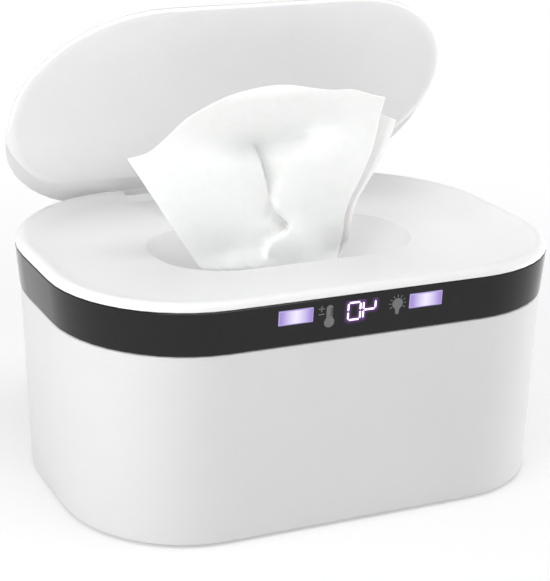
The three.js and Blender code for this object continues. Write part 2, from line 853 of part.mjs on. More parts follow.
// A silicone mouth: a flange on the bowl's floor, a plug through it and a soft slot for the wipe
function dispensingSeal() {
  const flangeZ = bowlFloorZ + fitGap;
  const plugLength = mouthLength - fitGap * 2;
  const plugDepth = mouthDepth - fitGap * 2;
  const lip = sealThickness;
  return loft(
    [
      ovalRing(plugLength, plugDepth, flangeZ),
      ovalRing(mouthLength + sealFlange * 2, mouthDepth + sealFlange * 2, flangeZ),
      ovalRing(mouthLength + sealFlange * 2 - lip, mouthDepth + sealFlange * 2 - lip, flangeZ + sealThickness),
      ovalRing(mouthLength - lip, mouthDepth - lip, flangeZ + sealThickness),
      ovalRing(sealSlotLength + lip * 2, sealSlotDepth + lip * 2, flangeZ + lip * 0.5),
      ovalRing(sealSlotLength, sealSlotDepth, flangeZ - lip * 0.5),
      ovalRing(sealSlotLength + lip, sealSlotDepth + lip, flangeZ - lip),
      ovalRing(plugLength - lip * 2, plugDepth - lip * 2, flangeZ - lip * 0.3),
      ovalRing(plugLength - lip * 2, plugDepth - lip * 2, flangeZ - deckThickness - sealPlugDepth),
      ovalRing(plugLength, plugDepth, flangeZ - deckThickness - sealPlugDepth),
    ],
    true,
  );
}

// The wipe that stands in the bowl: a sheet that gathers to the slot and fans out above it. The
// shares say how far up each row lies and how the sheet's width opens on the way.
function popUpWipe() {
  const lipZ = deckFloorZ - bowlDepth / 2;
  const neckZ = bowlFloorZ + fitGap + sealThickness + fitGap;
  const neckShare = (neckZ - wipeFootZ) / (wipeTopZ - wipeFootZ);
  const widthAt = (share) => {
    const z = Math.max(THREE.MathUtils.lerp(wipeFootZ, wipeTopZ, share), neckZ);
    return z < lipZ
      ? THREE.MathUtils.mapLinear(z, neckZ, lipZ, wipeFootWidth, wipeLipWidth)
      : THREE.MathUtils.mapLinear(z, lipZ, wipeTopZ, wipeLipWidth, wipeTopWidth);
  };
  const pleatShares = [0.9, 1.7, 2.6];
  const point = (across, share) => {
    const drop =
      across < 0
        ? wipeCornerDropLeft * across ** 2
        : wipeCornerDropRight * across ** 2;
    const above = Math.max(0, (share - neckShare) / (1 - neckShare));
    const z = THREE.MathUtils.lerp(wipeFootZ, wipeTopZ, share) - drop * above;
    const x = wipeLeanX * above ** 0.3 + (across * widthAt(share)) / 2;
    const open = 0.3 + 0.7 * share;
    const wave = pleatShares.reduce(
      (sum, rate, k) => sum + Math.cos(across * Math.PI * rate + k + share * rate) / (k + 1.5),
      0,
    );
    const foot = THREE.MathUtils.smoothstep(share, neckShare, neckShare * 4);
    return new THREE.Vector3(x, bowlCentreY + foot * (wave * wipePleat * open + wipeCentreY - bowlCentreY), z);
  };
  const rings = [];
  for (let row = 0; row <= wipeRows; row += 1) {
    const share = row === 0 ? 0 : THREE.MathUtils.mapLinear(row, 1, wipeRows, neckShare, 1);
    const near = [];
    const far = [];
    for (let column = 0; column <= wipeColumns; column += 1) {
      const across = (column / wipeColumns) * 2 - 1;
      const p = point(across, share);
      const half = wipeThickness / 2;
      near.push(new THREE.Vector3(p.x, p.y - half, p.z));
      far.unshift(new THREE.Vector3(p.x, p.y + half, p.z));
    }
    rings.push([...near, ...far]);
  }
  return sheetSkin(rings);
}

// Like a loft, but each end is closed by joining the two sides of the sheet across its thickness.
function sheetSkin(rings) {
  const count = rings[0].length;
  const positions = rings.flat().flatMap((p) => p.toArray());
  const index = [];
  for (let k = 0; k < rings.length - 1; k += 1) {
    for (let i = 0; i < count; i += 1) {
      const next = (i + 1) % count;
      const low = k * count;
      const high = low + count;
      index.push(low + i, low + next, high + next, low + i, high + next, high + i);
    }
  }
  const last = (rings.length - 1) * count;
  for (let i = 0; i < count / 2 - 1; i += 1) {
    const across = count - 1 - i;
    index.push(i, across, across - 1, i, across - 1, i + 1);
    index.push(last + i, last + across - 1, last + across, last + i, last + i + 1, last + across - 1);
  }
  if (signedVolume(positions, index) < 0) {
    for (let i = 0; i < index.length; i += 3) {
      [index[i + 1], index[i + 2]] = [index[i + 2], index[i + 1]];
    }
  }
  const geometry = new THREE.BufferGeometry();
  geometry.setAttribute("position", new THREE.Float32BufferAttribute(positions, 3));
  geometry.setIndex(index);
  return geometry;
}

addPart(topCover, "cover_deck", whiteShell, coverDeck());
addPart(topCover, "cover_gasket", silicone, coverGasket());
addPart(topCover, "dispensing_seal", silicone, dispensingSeal());
addPart(topCover, "pop_up_wipe", wipeWhite, popUpWipe());
for (const [label, side] of [["left", -1], ["right", 1]]) {
  const outer = halfBarrel + fitGap + knuckleWidth;
  const [x0, x1] = side > 0 ? [outer - pinLength, outer] : [-outer, pinLength - outer];
  addPart(topCover, `hinge_pin_${label}`, steel, rodAlongX(pinRadius, x0, x1, hingeY, hingeZ));
}

// The flip lid, drawn closed in the group's own frame and then swung open about its hinge
const flipLid = new THREE.Group();
flipLid.position.set(0, hingeY, hingeZ);
flipLid.rotation.x = -THREE.MathUtils.degToRad(lidOpenAngle);
const lidClosed = new THREE.Group();
lidClosed.position.set(0, -hingeY, -hingeZ);
flipLid.add(lidClosed);

function lidRing(inset, z) {
  const limit = (lidRearY - lidFrontY) / 2;
  const frontCorner = Math.min(lidFrontCorner, limit) - inset;
  const rearCorner = Math.min(lidRearCorner, limit) - inset;
  const points = outline({
    halfLength: lidLength / 2 - inset,
    front: lidFrontY + inset,
    rear: lidRearY - inset,
    frontCorner: [frontCorner, frontCorner],
    rearCorner: [rearCorner, rearCorner],
  });
  return lift(points, z);
}

// The slopes and the rim round the closed lid, with its clearance added
function rimRoom() {
  return loft([
    floorRing(0, deckFloorZ + lidRimClearance),
    bodyRing(beadWidth, rimTopZ - beadDrop + lidRimClearance),
    bodyRing(beadWidth * 0.6, lidStripZ),
    bodyRing(-rimRoomReach, lidStripZ),
    bodyRing(-rimRoomReach, deckFloorZ - cutOverrun),
  ]);
}

// The lid's outer half, which lies over the rear of the rim when closed, with the hinge's leaf and
// barrel under its rear strip
function lidShell() {
  const seamZ = lidFaceZ + linerHeight + fitGap;
  const body = loft([
    lidRing(0, seamZ),
    lidRing(0, lidTopZ - lidEdgeRadius),
    lidRing(lidEdgeRadius * 0.3, lidTopZ - lidEdgeRadius * 0.3),
    lidRing(lidEdgeRadius, lidTopZ),
    lidRing(lidEdgeRadius * 8, lidTopZ + lidCrown * 0.7),
    lidRing(lidEdgeRadius * 20, lidTopZ + lidCrown),
  ]);
  const barrel = rodAlongX(barrelRadius, -halfBarrel, halfBarrel, hingeY, hingeZ);
  const leaf = block(
    -halfBarrel,
    halfBarrel,
    hingeY - leafThickness / 3,
    hingeY + (leafThickness * 2) / 3,
    hingeZ,
    (seamZ + lidTopZ) / 2,
  );
  const bore = rodAlongX(pinRadius + fitGap, -halfBarrel - cutOverrun, halfBarrel + cutOverrun, hingeY, hingeZ);
  const bushRooms = [-1, 1].map((side) => {
    const inner = halfBarrel - bushLength - fitGap;
    const [x0, x1] = side > 0 ? [inner, halfBarrel + cutOverrun] : [-halfBarrel - cutOverrun, -inner];
    return rodAlongX(bushRadius + fitGap, x0, x1, hingeY, hingeZ);
  });
  return cut(joined(body, barrel, leaf), bore, ...bushRooms);
}

// The lid's inner half, dished and round-edged. It lies inside the rim when closed, and its rear edge
// stops where it would meet the rim as the lid swings open.
function lidLiner() {
  const body = loft([
    lidRing(linerDishReach, lidFaceZ + linerDish),
    lidRing(linerDishReach * 0.7, lidFaceZ + linerDish * 0.7),
    lidRing(linerDishReach * 0.35, lidFaceZ + linerDish * 0.12),
    lidRing(linerEdgeRadius, lidFaceZ),
    lidRing(linerEdgeRadius * 0.3, lidFaceZ + linerEdgeRadius * 0.3),
    lidRing(0, lidFaceZ + linerEdgeRadius),
    lidRing(0, lidFaceZ + linerHeight),
  ]);
  const rearY = hingeY - lidReliefDepth;
  const hingeRoom = block(-bodyLength, bodyLength, rearY, lidRearY + cutOverrun, coverBottomZ, lidTopZ);
  return cut(solid(body), rimRoom(), hingeRoom);
}

addPart(lidClosed, "lid_shell", lidWhite, lidShell());
addPart(lidClosed, "lid_liner", linerGrey, lidLiner());
for (const [label, side] of [["left", -1], ["right", 1]]) {
  const outer = halfBarrel;
  const [x0, x1] = side > 0 ? [outer - bushLength, outer] : [-outer, bushLength - outer];
  const sleeve = cut(
    solid(rodAlongX(bushRadius, x0, x1, hingeY, hingeZ)),
    rodAlongX(pinRadius + fitGap, x0 - cutOverrun, x1 + cutOverrun, hingeY, hingeZ),
  );
  addPart(lidClosed, `friction_bush_${label}`, acetal, sleeve);
}

// The whole object, centred over the origin from front to rear
const group = new THREE.Group();
group.add(base, topCover, flipLid);
group.updateMatrixWorld(true);
const bounds = new THREE.Box3().setFromObject(group, true);
group.position.y = -(bounds.min.y + bounds.max.y) / 2;

export default group;
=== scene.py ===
"""The looks of a baby wipe warmer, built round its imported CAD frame.

Lengths are in metres, in the frame's own axes: X along the body, -Y towards the display and Z up.
Sizes that belong to a CAD node are read from that node's box, so that they follow the frame.
"""

import logging
import math
from collections.abc import Callable, Iterable, Sequence
from dataclasses import dataclass, field
from enum import Enum
from functools import cache

import bmesh
import bpy
from mathutils import Matrix, Vector, noise


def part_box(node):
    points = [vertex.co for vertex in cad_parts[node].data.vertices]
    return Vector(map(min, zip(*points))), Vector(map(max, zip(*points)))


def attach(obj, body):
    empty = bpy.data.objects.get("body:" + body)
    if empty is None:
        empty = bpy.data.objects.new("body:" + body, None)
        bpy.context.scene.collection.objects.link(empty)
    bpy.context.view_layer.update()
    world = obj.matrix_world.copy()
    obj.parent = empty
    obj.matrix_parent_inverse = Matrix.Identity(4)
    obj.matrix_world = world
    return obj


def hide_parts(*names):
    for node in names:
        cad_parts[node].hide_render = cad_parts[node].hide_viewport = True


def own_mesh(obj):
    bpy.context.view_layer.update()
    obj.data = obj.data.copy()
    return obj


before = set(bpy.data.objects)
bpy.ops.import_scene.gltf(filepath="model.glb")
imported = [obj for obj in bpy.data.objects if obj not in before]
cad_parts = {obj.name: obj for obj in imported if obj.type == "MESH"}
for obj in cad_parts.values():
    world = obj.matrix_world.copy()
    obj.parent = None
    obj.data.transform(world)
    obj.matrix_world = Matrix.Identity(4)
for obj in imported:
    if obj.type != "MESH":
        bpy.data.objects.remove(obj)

LOG = logging.getLogger("wipe_warmer")
MM = 0.001
GLOW_ATTRIBUTE = "glow"
SOFT_NODES = ("pop_up_wipe", "wipe_stack", "insulation_pad")

Colour = tuple[float, float, float]
Point = tuple[float, float]
BMesh = bmesh.types.BMesh
Socket = bpy.types.NodeSocket


class Surface(Enum):
    """The kinds of surface detail. Each value names the method of FinishGraph that makes it."""

    MOULDED = "moulded"
    POLISHED = "polished"
    BRUSHED = "brushed"
    CLOTH = "cloth"
    FOAM = "foam"
    RUBBER = "rubber"
    BOARD = "board"
    TRACKS = "tracks"
    LIT_WINDOW = "lit_window"
    LIT_SEGMENT = "lit_segment"
    GLOW = "glow"


@dataclass(frozen=True)
class Finish:
    """One procedural material.

    Args:
        name: the material's name.
        colour: its base colour, linear.
        roughness: the shader's mean roughness.
        surface: the kind of detail it carries.
        metallic: 1 for bare metal.
        specular: how strongly it mirrors at normal view.
        coat: the clear coat's weight.
        sheen: the sheen's weight.
        subsurface: how much light passes under the surface.
        mottle: how far the colour varies, as a share.
        mottle_size: how wide the patches of colour are.
        grain: the depth of the surface's fine relief.
        grain_size: the width of that relief.
        glow: the emission's colour, for lit surfaces.
        glow_strength: the emission's strength.
    """

    name: str
    colour: Colour
    roughness: float
    surface: Surface = Surface.MOULDED
    metallic: float = 0.0
    specular: float = 0.5
    coat: float = 0.0
    sheen: float = 0.0
    subsurface: float = 0.0
    mottle: float = 0.02
    mottle_size: float = 30 * MM
    grain: float = 0.01 * MM
    grain_size: float = 0.5 * MM
    glow: Colour = (0.0, 0.0, 0.0)
    glow_strength: float = 0.0


# The housing, cover, lid and liner are one white plastic, given different tones in place of light:
# the housing's white is painted darker (painted shade on its front), and the cover's is lowered a
# little (painted shade, so that its rim does not clip).
HOUSING_WHITE_PAINTED_SHADE = Finish("housing_white_painted_shade", (0.68, 0.68, 0.684), 0.36, mottle=0.01, grain=0.004 * MM)
COVER_WHITE_PAINTED_SHADE = Finish("cover_white_painted_shade", (0.815, 0.815, 0.818), 0.34, mottle=0.008, grain=0.001 * MM)
# The lid shell and its liner are painted lighter than the housing: painted light on the lid's
# shaded underside.
LID_WHITE_PAINTED_LIGHT = Finish("lid_white_painted_light", (0.88, 0.88, 0.884), 0.38, mottle=0.008, grain=0.001 * MM)
LINER_WHITE_PAINTED_LIGHT = Finish(
    "liner_white_painted_light", (0.88, 0.88, 0.884), 0.48, mottle=0.01, grain=0.001 * MM, grain_size=0.7 * MM
)
GLOSS_BLACK = Finish(
    "gloss_black", (0.009, 0.009, 0.0095), 0.1, Surface.POLISHED, specular=0.28, mottle=0.08,
    grain=0.02 * MM, grain_size=9 * MM,
)
TUB_GREY = Finish("tub_grey", (0.66, 0.67, 0.68), 0.45, mottle=0.03)
FOOT_RUBBER = Finish(
    "foot_rubber", (0.09, 0.092, 0.095), 0.85, Surface.RUBBER, mottle=0.1, grain=0.03 * MM
)
SILICONE = Finish(
    "silicone", (0.74, 0.75, 0.75), 0.55, Surface.RUBBER, subsurface=0.15, grain=0.006 * MM
)
STEEL = Finish(
    "steel", (0.5, 0.51, 0.53), 0.3, Surface.BRUSHED, metallic=1.0, grain=0.006 * MM,
    grain_size=0.3 * MM,
)
ALUMINIUM = Finish(
    "aluminium", (0.62, 0.63, 0.65), 0.36, Surface.BRUSHED, metallic=1.0, grain_size=0.4 * MM
)
HEATER_FILM = Finish(
    "heater_film", (0.5, 0.2, 0.035), 0.35, Surface.TRACKS, coat=0.4, grain_size=3.2 * MM
)
FELT = Finish(
    "insulation_felt", (0.27, 0.28, 0.29), 0.95, Surface.FOAM, sheen=0.2, grain=0.25 * MM,
    grain_size=1.4 * MM,
)
BOARD = Finish("board", (0.012, 0.14, 0.06), 0.42, Surface.BOARD, coat=0.3, grain_size=2.6 * MM)
BLACK_PLASTIC = Finish("black_plastic", (0.02, 0.02, 0.022), 0.5, mottle=0.1, grain=0.012 * MM)
LIGHT_GUIDE = Finish("light_guide", (0.75, 0.72, 0.85), 0.3, subsurface=0.3)
DIGIT_MODULE = Finish("digit_module", (0.6, 0.58, 0.68), 0.35)
ACETAL = Finish("acetal", (0.68, 0.68, 0.65), 0.38)
LIT_WINDOW = Finish(
    "lit_window", (0.04, 0.03, 0.07), 0.15, Surface.LIT_WINDOW, specular=0.28, glow_strength=1.0
)
LIT_SEGMENT = Finish(
    "lit_segment", (0.8, 0.7, 0.9), 0.3, Surface.LIT_SEGMENT, glow=(1.0, 0.9, 1.0),
    glow_strength=1.4,
)
DIGIT_HALO = Finish(
    "digit_halo", (0.009, 0.009, 0.0095), 0.1, Surface.GLOW, specular=0.28, glow=(0.3, 0.09, 0.5),
    glow_strength=0.55,
)
ICON_GREY = Finish(
    "icon_grey", (0.17, 0.17, 0.175), 0.3, specular=0.28, mottle=0.12, mottle_size=0.6 * MM
)
WIPE_CLOTH = Finish(
    "wipe_cloth", (0.94, 0.938, 0.93), 0.92, Surface.CLOTH, sheen=0.15, subsurface=0.08,
    mottle=0.012, mottle_size=4 * MM, grain=0.05 * MM, grain_size=0.9 * MM,
)

NODE_FINISHES = {
    "outer_housing": HOUSING_WHITE_PAINTED_SHADE,
    "base_plate": TUB_GREY,
    "foot": FOOT_RUBBER,
    "base_screw": STEEL,
    "inner_tub": TUB_GREY,
    "heater_plate": ALUMINIUM,
    "heater_film": HEATER_FILM,
    "thermistor": BLACK_PLASTIC,
    "thermal_fuse": STEEL,
    "control_board": BOARD,
    "display_board": BOARD,
    "dc_jack": BLACK_PLASTIC,
    "accent_band": GLOSS_BLACK,
    "light_window": LIT_WINDOW,
    "light_guide": LIGHT_GUIDE,
    "digit_display": DIGIT_MODULE,
    "cover_deck": COVER_WHITE_PAINTED_SHADE,
    "cover_gasket": SILICONE,
    "dispensing_seal": SILICONE,
    "hinge_pin": STEEL,
    "lid_shell": LID_WHITE_PAINTED_LIGHT,
    "lid_liner": LINER_WHITE_PAINTED_LIGHT,
    "friction_bush": ACETAL,
}

WHITE = (1, 1, 1, 1)
COAT_ROUGHNESS = 0.04
SUBSURFACE_REACH = 2 * MM
TRACK_METAL = (0.32, 0.3, 0.28)
WINDOW_EDGE = 0.3 * MM
WINDOW_EDGE_TONE = (0.46, 0.38, 0.7, 1)
WINDOW_TONES = (
    (0.0, (0.86, 0.81, 0.94)),
    (0.25, (0.74, 0.68, 0.86)),
    (0.5, (0.57, 0.51, 0.79)),
    (0.75, (0.41, 0.31, 0.67)),
    (1.0, (0.28, 0.2, 0.57)),
)


class ShaderGraph:
    """A small wrapper that builds the node tree of a material or of the world."""

    def __init__(self, owner: bpy.types.Material | bpy.types.World) -> None:
        """Opens the owner's node tree.

        Args:
            owner: the material or world.
        """
        owner.use_nodes = True
        self.tree = owner.node_tree
        self.shader = self.tree.nodes.get("Principled BSDF")
        self.bumps: Socket | None = None

    def add(self, kind: str, inputs: dict | None = None, **settings: object) -> bpy.types.Node:
        """Adds a node.

        Args:
            kind: the node's type.
            inputs: values or sockets for its inputs, by name or index.
            settings: the node's own attributes.

        Returns:
            The new node.
        """
        node = self.tree.nodes.new(kind)
        for key, value in settings.items():
            setattr(node, key, value)
        for key, value in (inputs or {}).items():
            self.feed(node.inputs[key], value)
        return node

    def feed(self, socket: Socket, value: object) -> None:
        """Links a socket to another, or sets its value.

        Args:
            socket: the input.
            value: a socket or a value.
        """
        if isinstance(value, Socket):
            self.tree.links.new(value, socket)
        else:
            socket.default_value = value

    def shade(self, values: dict[str, object]) -> None:
        """Feeds inputs of the shader, by name."""
        for name, value in values.items():
            self.feed(self.shader.inputs[name], value)

    def coordinates(self) -> Socket:
        """Returns the object's own coordinates, in metres."""
        return self.add("ShaderNodeTexCoord").outputs["Object"]

    def scaled(self, *sizes: float) -> Socket:
        """Returns the coordinates, counted in a size for each axis."""
        inputs = {"Vector": self.coordinates(), "Scale": tuple(1 / size for size in sizes)}
        return self.add("ShaderNodeMapping", inputs).outputs[0]

    def math(self, operation: str, *values: object, clamp: bool = False) -> Socket:
        """Returns the result of one math operation on sockets or numbers.

        Args:
            operation: the operation's name.
            values: what it works on.
            clamp: whether its result is held between 0 and 1.

        Returns:
            The result's socket.
        """
        node = self.add("ShaderNodeMath", operation=operation, use_clamp=clamp)
        for socket, value in zip(node.inputs, values):
            self.feed(socket, value)
        return node.outputs[0]

    def noise(
        self, size: float, detail: float = 3.0, stretch: Sequence[float] = (1, 1, 1)
    ) -> Socket:
        """Returns a noise whose patches are about one size wide, and stretched along each axis.

        Args:
            size: the width of a patch.
            detail: how many finer layers it has.
            stretch: how much longer a patch is along each axis.

        Returns:
            The noise's socket.
        """
        vector = self.scaled(*(size * s for s in stretch))
        inputs = {"Vector": vector, "Scale": 1.0, "Detail": detail}
        return self.add("ShaderNodeTexNoise", inputs).outputs[0]

    def cells(self, size: float, feature: str = "F1") -> Socket:
        """Returns the distance pattern of cells about one size wide."""
        inputs = {"Vector": self.scaled(size, size, size), "Scale": 1.0}
        return self.add("ShaderNodeTexVoronoi", inputs, feature=feature).outputs[0]

    def ramp(self, factor: Socket, stops: Sequence[tuple[float, Sequence[float]]]) -> Socket:
        """Returns a colour that runs through stops as a factor grows.

        Args:
            factor: what it follows.
            stops: pairs of place and colour.

        Returns:
            The colour's socket.
        """
        node = self.add("ShaderNodeValToRGB", {"Fac": factor})
        elements = node.color_ramp.elements
        while len(elements) < len(stops):
            elements.new(0.5)
        for element, (place, colour) in zip(elements, stops):
            element.position = place
            element.color = (*colour, 1.0)
        return node.outputs[0]

    def patches(self, size: float, low: Colour, high: Colour, detail: float = 3.0) -> Socket:
        """Returns a colour that wanders between two others in patches."""
        return self.ramp(self.noise(size, detail), [(0.3, low), (0.7, high)])

    def spread(self, factor: Socket, low: float, high: float) -> Socket:
        """Maps a factor from 0 to 1 onto a range."""
        return self.add("ShaderNodeMapRange", {0: factor, 3: low, 4: high}).outputs[0]

    def bump(self, height: Socket, depth: float, strength: float = 1.0) -> None:
        """Adds relief of a given depth to the surface.

        Args:
            height: what it follows, from 0 to 1.
            depth: its depth.
            strength: how far it counts.
        """
        inputs = {"Height": height, "Distance": depth, "Strength": strength}
        if self.bumps is not None:
            inputs["Normal"] = self.bumps
        self.bumps = self.add("ShaderNodeBump", inputs).outputs[0]
        self.shade({"Normal": self.bumps})

    def seen_rays(self) -> Socket:
        """Returns 1 for camera, glossy and transmission rays, and 0 for those that only light.

        Returns:
            The share's socket.
        """
        rays = self.add("ShaderNodeLightPath").outputs
        total = rays["Is Camera Ray"]
        for kind in ("Is Glossy Ray", "Is Transmission Ray"):
            total = self.math("ADD", total, rays[kind], clamp=True)
        return total


class FinishGraph(ShaderGraph):
    """The node tree of one finish."""

    def __init__(self, finish: Finish) -> None:
        """Builds the finish's material.

        Args:
            finish: the finish to build.
        """
        self.material = bpy.data.materials.new(finish.name)
        super().__init__(self.material)
        self.finish = finish
        self.base()
        getattr(self, finish.surface.value)()

    def base(self) -> None:
        """Sets the shader's uniform values and a colour that varies a little."""
        low = tuple(c * (1 - self.finish.mottle) for c in self.finish.colour)
        high = tuple(min(1.0, c * (1 + self.finish.mottle)) for c in self.finish.colour)
        values = {
            "Metallic": self.finish.metallic,
            "Roughness": self.finish.roughness,
            "Specular IOR Level": self.finish.specular,
            "Coat Weight": self.finish.coat,
            "Coat Roughness": COAT_ROUGHNESS,
            "Sheen Weight": self.finish.sheen,
            "Subsurface Weight": self.finish.subsurface,
            "Subsurface Scale": SUBSURFACE_REACH,
            "Base Color": self.patches(self.finish.mottle_size, low, high, detail=4.0),
        }
        self.shade(values)

    def vary_roughness(self, spread: float, size: float) -> None:
        """Lets the roughness wander round its mean, in patches of a size.

        Args:
            spread: how far it strays, as a share of the mean.
            size: the width of a patch.
        """
        mean = self.finish.roughness
        low, high = mean * (1 - spread), min(1.0, mean * (1 + spread))
        self.shade({"Roughness": self.spread(self.noise(size), low, high)})

    def moulded(self) -> None:
        """Moulded plastic: a fine spark texture and slow changes in gloss."""
        self.vary_roughness(spread=0.12, size=14 * MM)
        self.bump(self.noise(self.finish.grain_size, detail=2.0), self.finish.grain)
        wave = self.noise(self.finish.grain_size * 60, detail=1.0)
        self.bump(wave, self.finish.grain * 6, strength=0.5)

    def polished(self) -> None:
        """Polished plastic: a long, shallow ripple and faint hazy patches."""
        self.vary_roughness(spread=0.25, size=8 * MM)
        self.bump(self.noise(self.finish.grain_size, detail=1.0), self.finish.grain)

    def brushed(self) -> None:
        """Rolled or drawn metal: streaks along X."""
        streaks = self.noise(self.finish.grain_size, detail=4.0, stretch=(30, 1, 1))
        low, high = self.finish.roughness - 0.1, self.finish.roughness + 0.12
        self.shade({"Roughness": self.spread(streaks, low, high)})
        self.bump(streaks, self.finish.grain)

    def cloth(self) -> None:
        """Non-woven cloth: tangled fibres, a faint emboss of dots and thin patches."""
        size, depth = self.finish.grain_size, self.finish.grain
        fibres = self.noise(size * 0.35, detail=6.0, stretch=(1, 1, 2.2))
        crossed = self.noise(size * 0.4, detail=5.0, stretch=(2.4, 1, 1))
        self.bump(self.math("ADD", fibres, crossed), depth)
        dots = self.spread(self.cells(size * 2.4), 0.0, 1.0)
        self.bump(dots, depth * 0.5, strength=0.5)
        self.bump(self.noise(size * 7, detail=2.0), depth * 1.5, strength=0.4)
        self.vary_roughness(spread=0.06, size=3 * MM)

    def foam(self) -> None:
        """Felted foam: open cells and tufts."""
        self.bump(self.cells(self.finish.grain_size), self.finish.grain)
        self.bump(self.noise(self.finish.grain_size * 0.3, detail=6.0), self.finish.grain * 0.4)

    def rubber(self) -> None:
        """Soft rubber: an even matte stipple."""
        self.vary_roughness(spread=0.1, size=4 * MM)
        self.bump(self.cells(self.finish.grain_size), self.finish.grain)

    def board(self) -> None:
        """A circuit board: copper runs under the solder mask."""
        width, brighter, depth = 0.08, 1.9, 0.03 * MM
        edge = self.math("LESS_THAN", self.cells(self.finish.grain_size, "DISTANCE_TO_EDGE"), width)
        light = tuple(c * brighter for c in self.finish.colour)
        self.shade({"Base Color": self.ramp(edge, [(0.0, self.finish.colour), (1.0, light)])})
        self.bump(edge, depth)

    def tracks(self) -> None:
        """A heating film: etched tracks that run to and fro in amber film."""
        share, depth = 0.55, 0.04 * MM
        size = self.finish.grain_size
        inputs = {"Vector": self.scaled(size, size, size), "Scale": 1.0, "Distortion": 0.0}
        wave = self.add("ShaderNodeTexWave", inputs, bands_direction="Y").outputs[1]
        track = self.math("GREATER_THAN", wave, share)
        tones = [(0.0, self.finish.colour), (1.0, TRACK_METAL)]
        self.shade({"Base Color": self.ramp(track, tones)})
        self.bump(track, depth)

    def lit_window(self) -> None:
        """A lit touch window: violet ends, a near-white middle and a thin pale edge."""
        low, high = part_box("light_window_right")
        centre, half = (low + high) / 2, (high - low) / 2
        x, _, z = self.add("ShaderNodeSeparateXYZ", {0: self.coordinates()}).outputs
        shares, edges = [], []
        for place, middle, reach in (
            (self.math("ABSOLUTE", x), centre.x, half.x),
            (z, centre.z, half.z),
        ):
            offset = self.math("DIVIDE", self.math("SUBTRACT", place, middle), reach)
            shares.append(self.math("ABSOLUTE", offset))
            edges.append(self.math("GREATER_THAN", shares[-1], 1 - WINDOW_EDGE / reach))
        light = self.ramp(shares[0], WINDOW_TONES)
        inputs = {0: self.math("MAXIMUM", *edges), 6: light, 7: WINDOW_EDGE_TONE}
        mixed = self.add("ShaderNodeMix", inputs, data_type="RGBA").outputs[2]
        self.emit(mixed)

    def lit_segment(self) -> None:
        """A lit bar of a digit, a little uneven along its length."""
        dim = tuple(c * 0.9 for c in self.finish.glow)
        self.emit(self.patches(1.5 * MM, dim, self.finish.glow))

    def glow(self) -> None:
        """Light that spreads in the window round the digits, from the mesh's own values."""
        near = self.add("ShaderNodeAttribute", attribute_name=GLOW_ATTRIBUTE).outputs["Fac"]
        self.emit(self.ramp(near, [(0.0, (0, 0, 0)), (1.0, self.finish.glow)]))

    def emit(self, light: Socket) -> None:
        """Lets the surface give off a light of its own."""
        self.shade({"Emission Color": light, "Emission Strength": self.finish.glow_strength})


@cache
def material_of(finish: Finish) -> bpy.types.Material:
    """Returns the material of a finish, made at the first call.

    Args:
        finish: the finish.

    Returns:
        Its material.
    """
    graph = FinishGraph(finish)
    nodes = len(graph.tree.nodes)
    LOG.info("finish %s: %s, %d nodes", finish.name, finish.surface.value, nodes)
    return graph.material


def linked(name: str, data: bpy.types.ID) -> bpy.types.Object:
    """Makes an object of some data and links it to the scene.

    Args:
        name: the object's name.
        data: its mesh, light or camera.

    Returns:
        The object.
    """
    made = bpy.data.objects.new(name, data)
    bpy.context.scene.collection.objects.link(made)
    return made


def mesh_data(mesh: BMesh, name: str) -> bpy.types.Mesh:
    """Turns a bmesh into mesh data, and frees it.

    Args:
        mesh: the bmesh.
        name: the data's name.

    Returns:
        The mesh data.
    """
    data = bpy.data.meshes.new(name)
    mesh.to_mesh(data)
    mesh.free()
    return data


def finished(
    mesh: BMesh, name: str, finish: Finish, body: str, smooth: bool = True
) -> bpy.types.Object:
    """Turns a bmesh into a piece that rides on a body.

    Args:
        mesh: the finished bmesh, which is freed.
        name: the piece's name.
        finish: its finish.
        body: the CAD body that carries it.
        smooth: whether its faces are shaded smooth.

    Returns:
        The new object, at the origin.
    """
    bmesh.ops.recalc_face_normals(mesh, faces=mesh.faces)
    for face in mesh.faces:
        face.smooth = smooth
    data = mesh_data(mesh, name)
    data.materials.append(material_of(finish))
    piece = linked(name, data)
    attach(piece, body)
    LOG.info("piece %s on %s: %d faces", name, body, len(data.polygons))
    return piece


def raise_faces(mesh: BMesh, faces: list[bmesh.types.BMFace], shift: Vector) -> None:
    """Extrudes faces by a shift.

    Args:
        mesh: their bmesh.
        faces: the faces.
        shift: how far and which way they go.
    """
    grown = bmesh.ops.extrude_face_region(mesh, geom=faces)["geom"]
    verts = [item for item in grown if isinstance(item, bmesh.types.BMVert)]
    bmesh.ops.translate(mesh, verts=verts, vec=shift)


def outline_face(mesh: BMesh, points: Sequence[Sequence[float]]) -> bmesh.types.BMFace:
    """Makes one face from the points of an outline."""
    return mesh.faces.new([mesh.verts.new(point) for point in points])


def sheet_grid(
    mesh: BMesh, columns: int, rows: int, place: Callable[[float, float], Vector]
) -> None:
    """Makes a grid whose vertices lie where a function of their two shares puts them.

    Args:
        mesh: the empty bmesh that takes the grid.
        columns: its faces along the first share.
        rows: its faces along the second share.
        place: gives a point for two shares from 0 to 1.
    """
    half = 0.5
    bmesh.ops.create_grid(mesh, x_segments=columns, y_segments=rows, size=half)
    for vertex in mesh.verts:
        vertex.co = place(vertex.co.x + half, vertex.co.y + half)


def apply_modifiers(piece: bpy.types.Object) -> None:
    """Bakes a piece's modifiers into its mesh.

    Args:
        piece: the piece.
    """
    graph = bpy.context.evaluated_depsgraph_get()
    data = bpy.data.meshes.new_from_object(piece.evaluated_get(graph))
    piece.modifiers.clear()
    piece.data = data


def arc(centre: Point, radius: float, start: float, sweep: float, steps: int) -> list[Point]:
    """The points of an arc that sweeps anticlockwise from an angle."""
    turns = (start + sweep * step / steps for step in range(steps + 1))
    return [(centre[0] + radius * math.cos(a), centre[1] + radius * math.sin(a)) for a in turns]


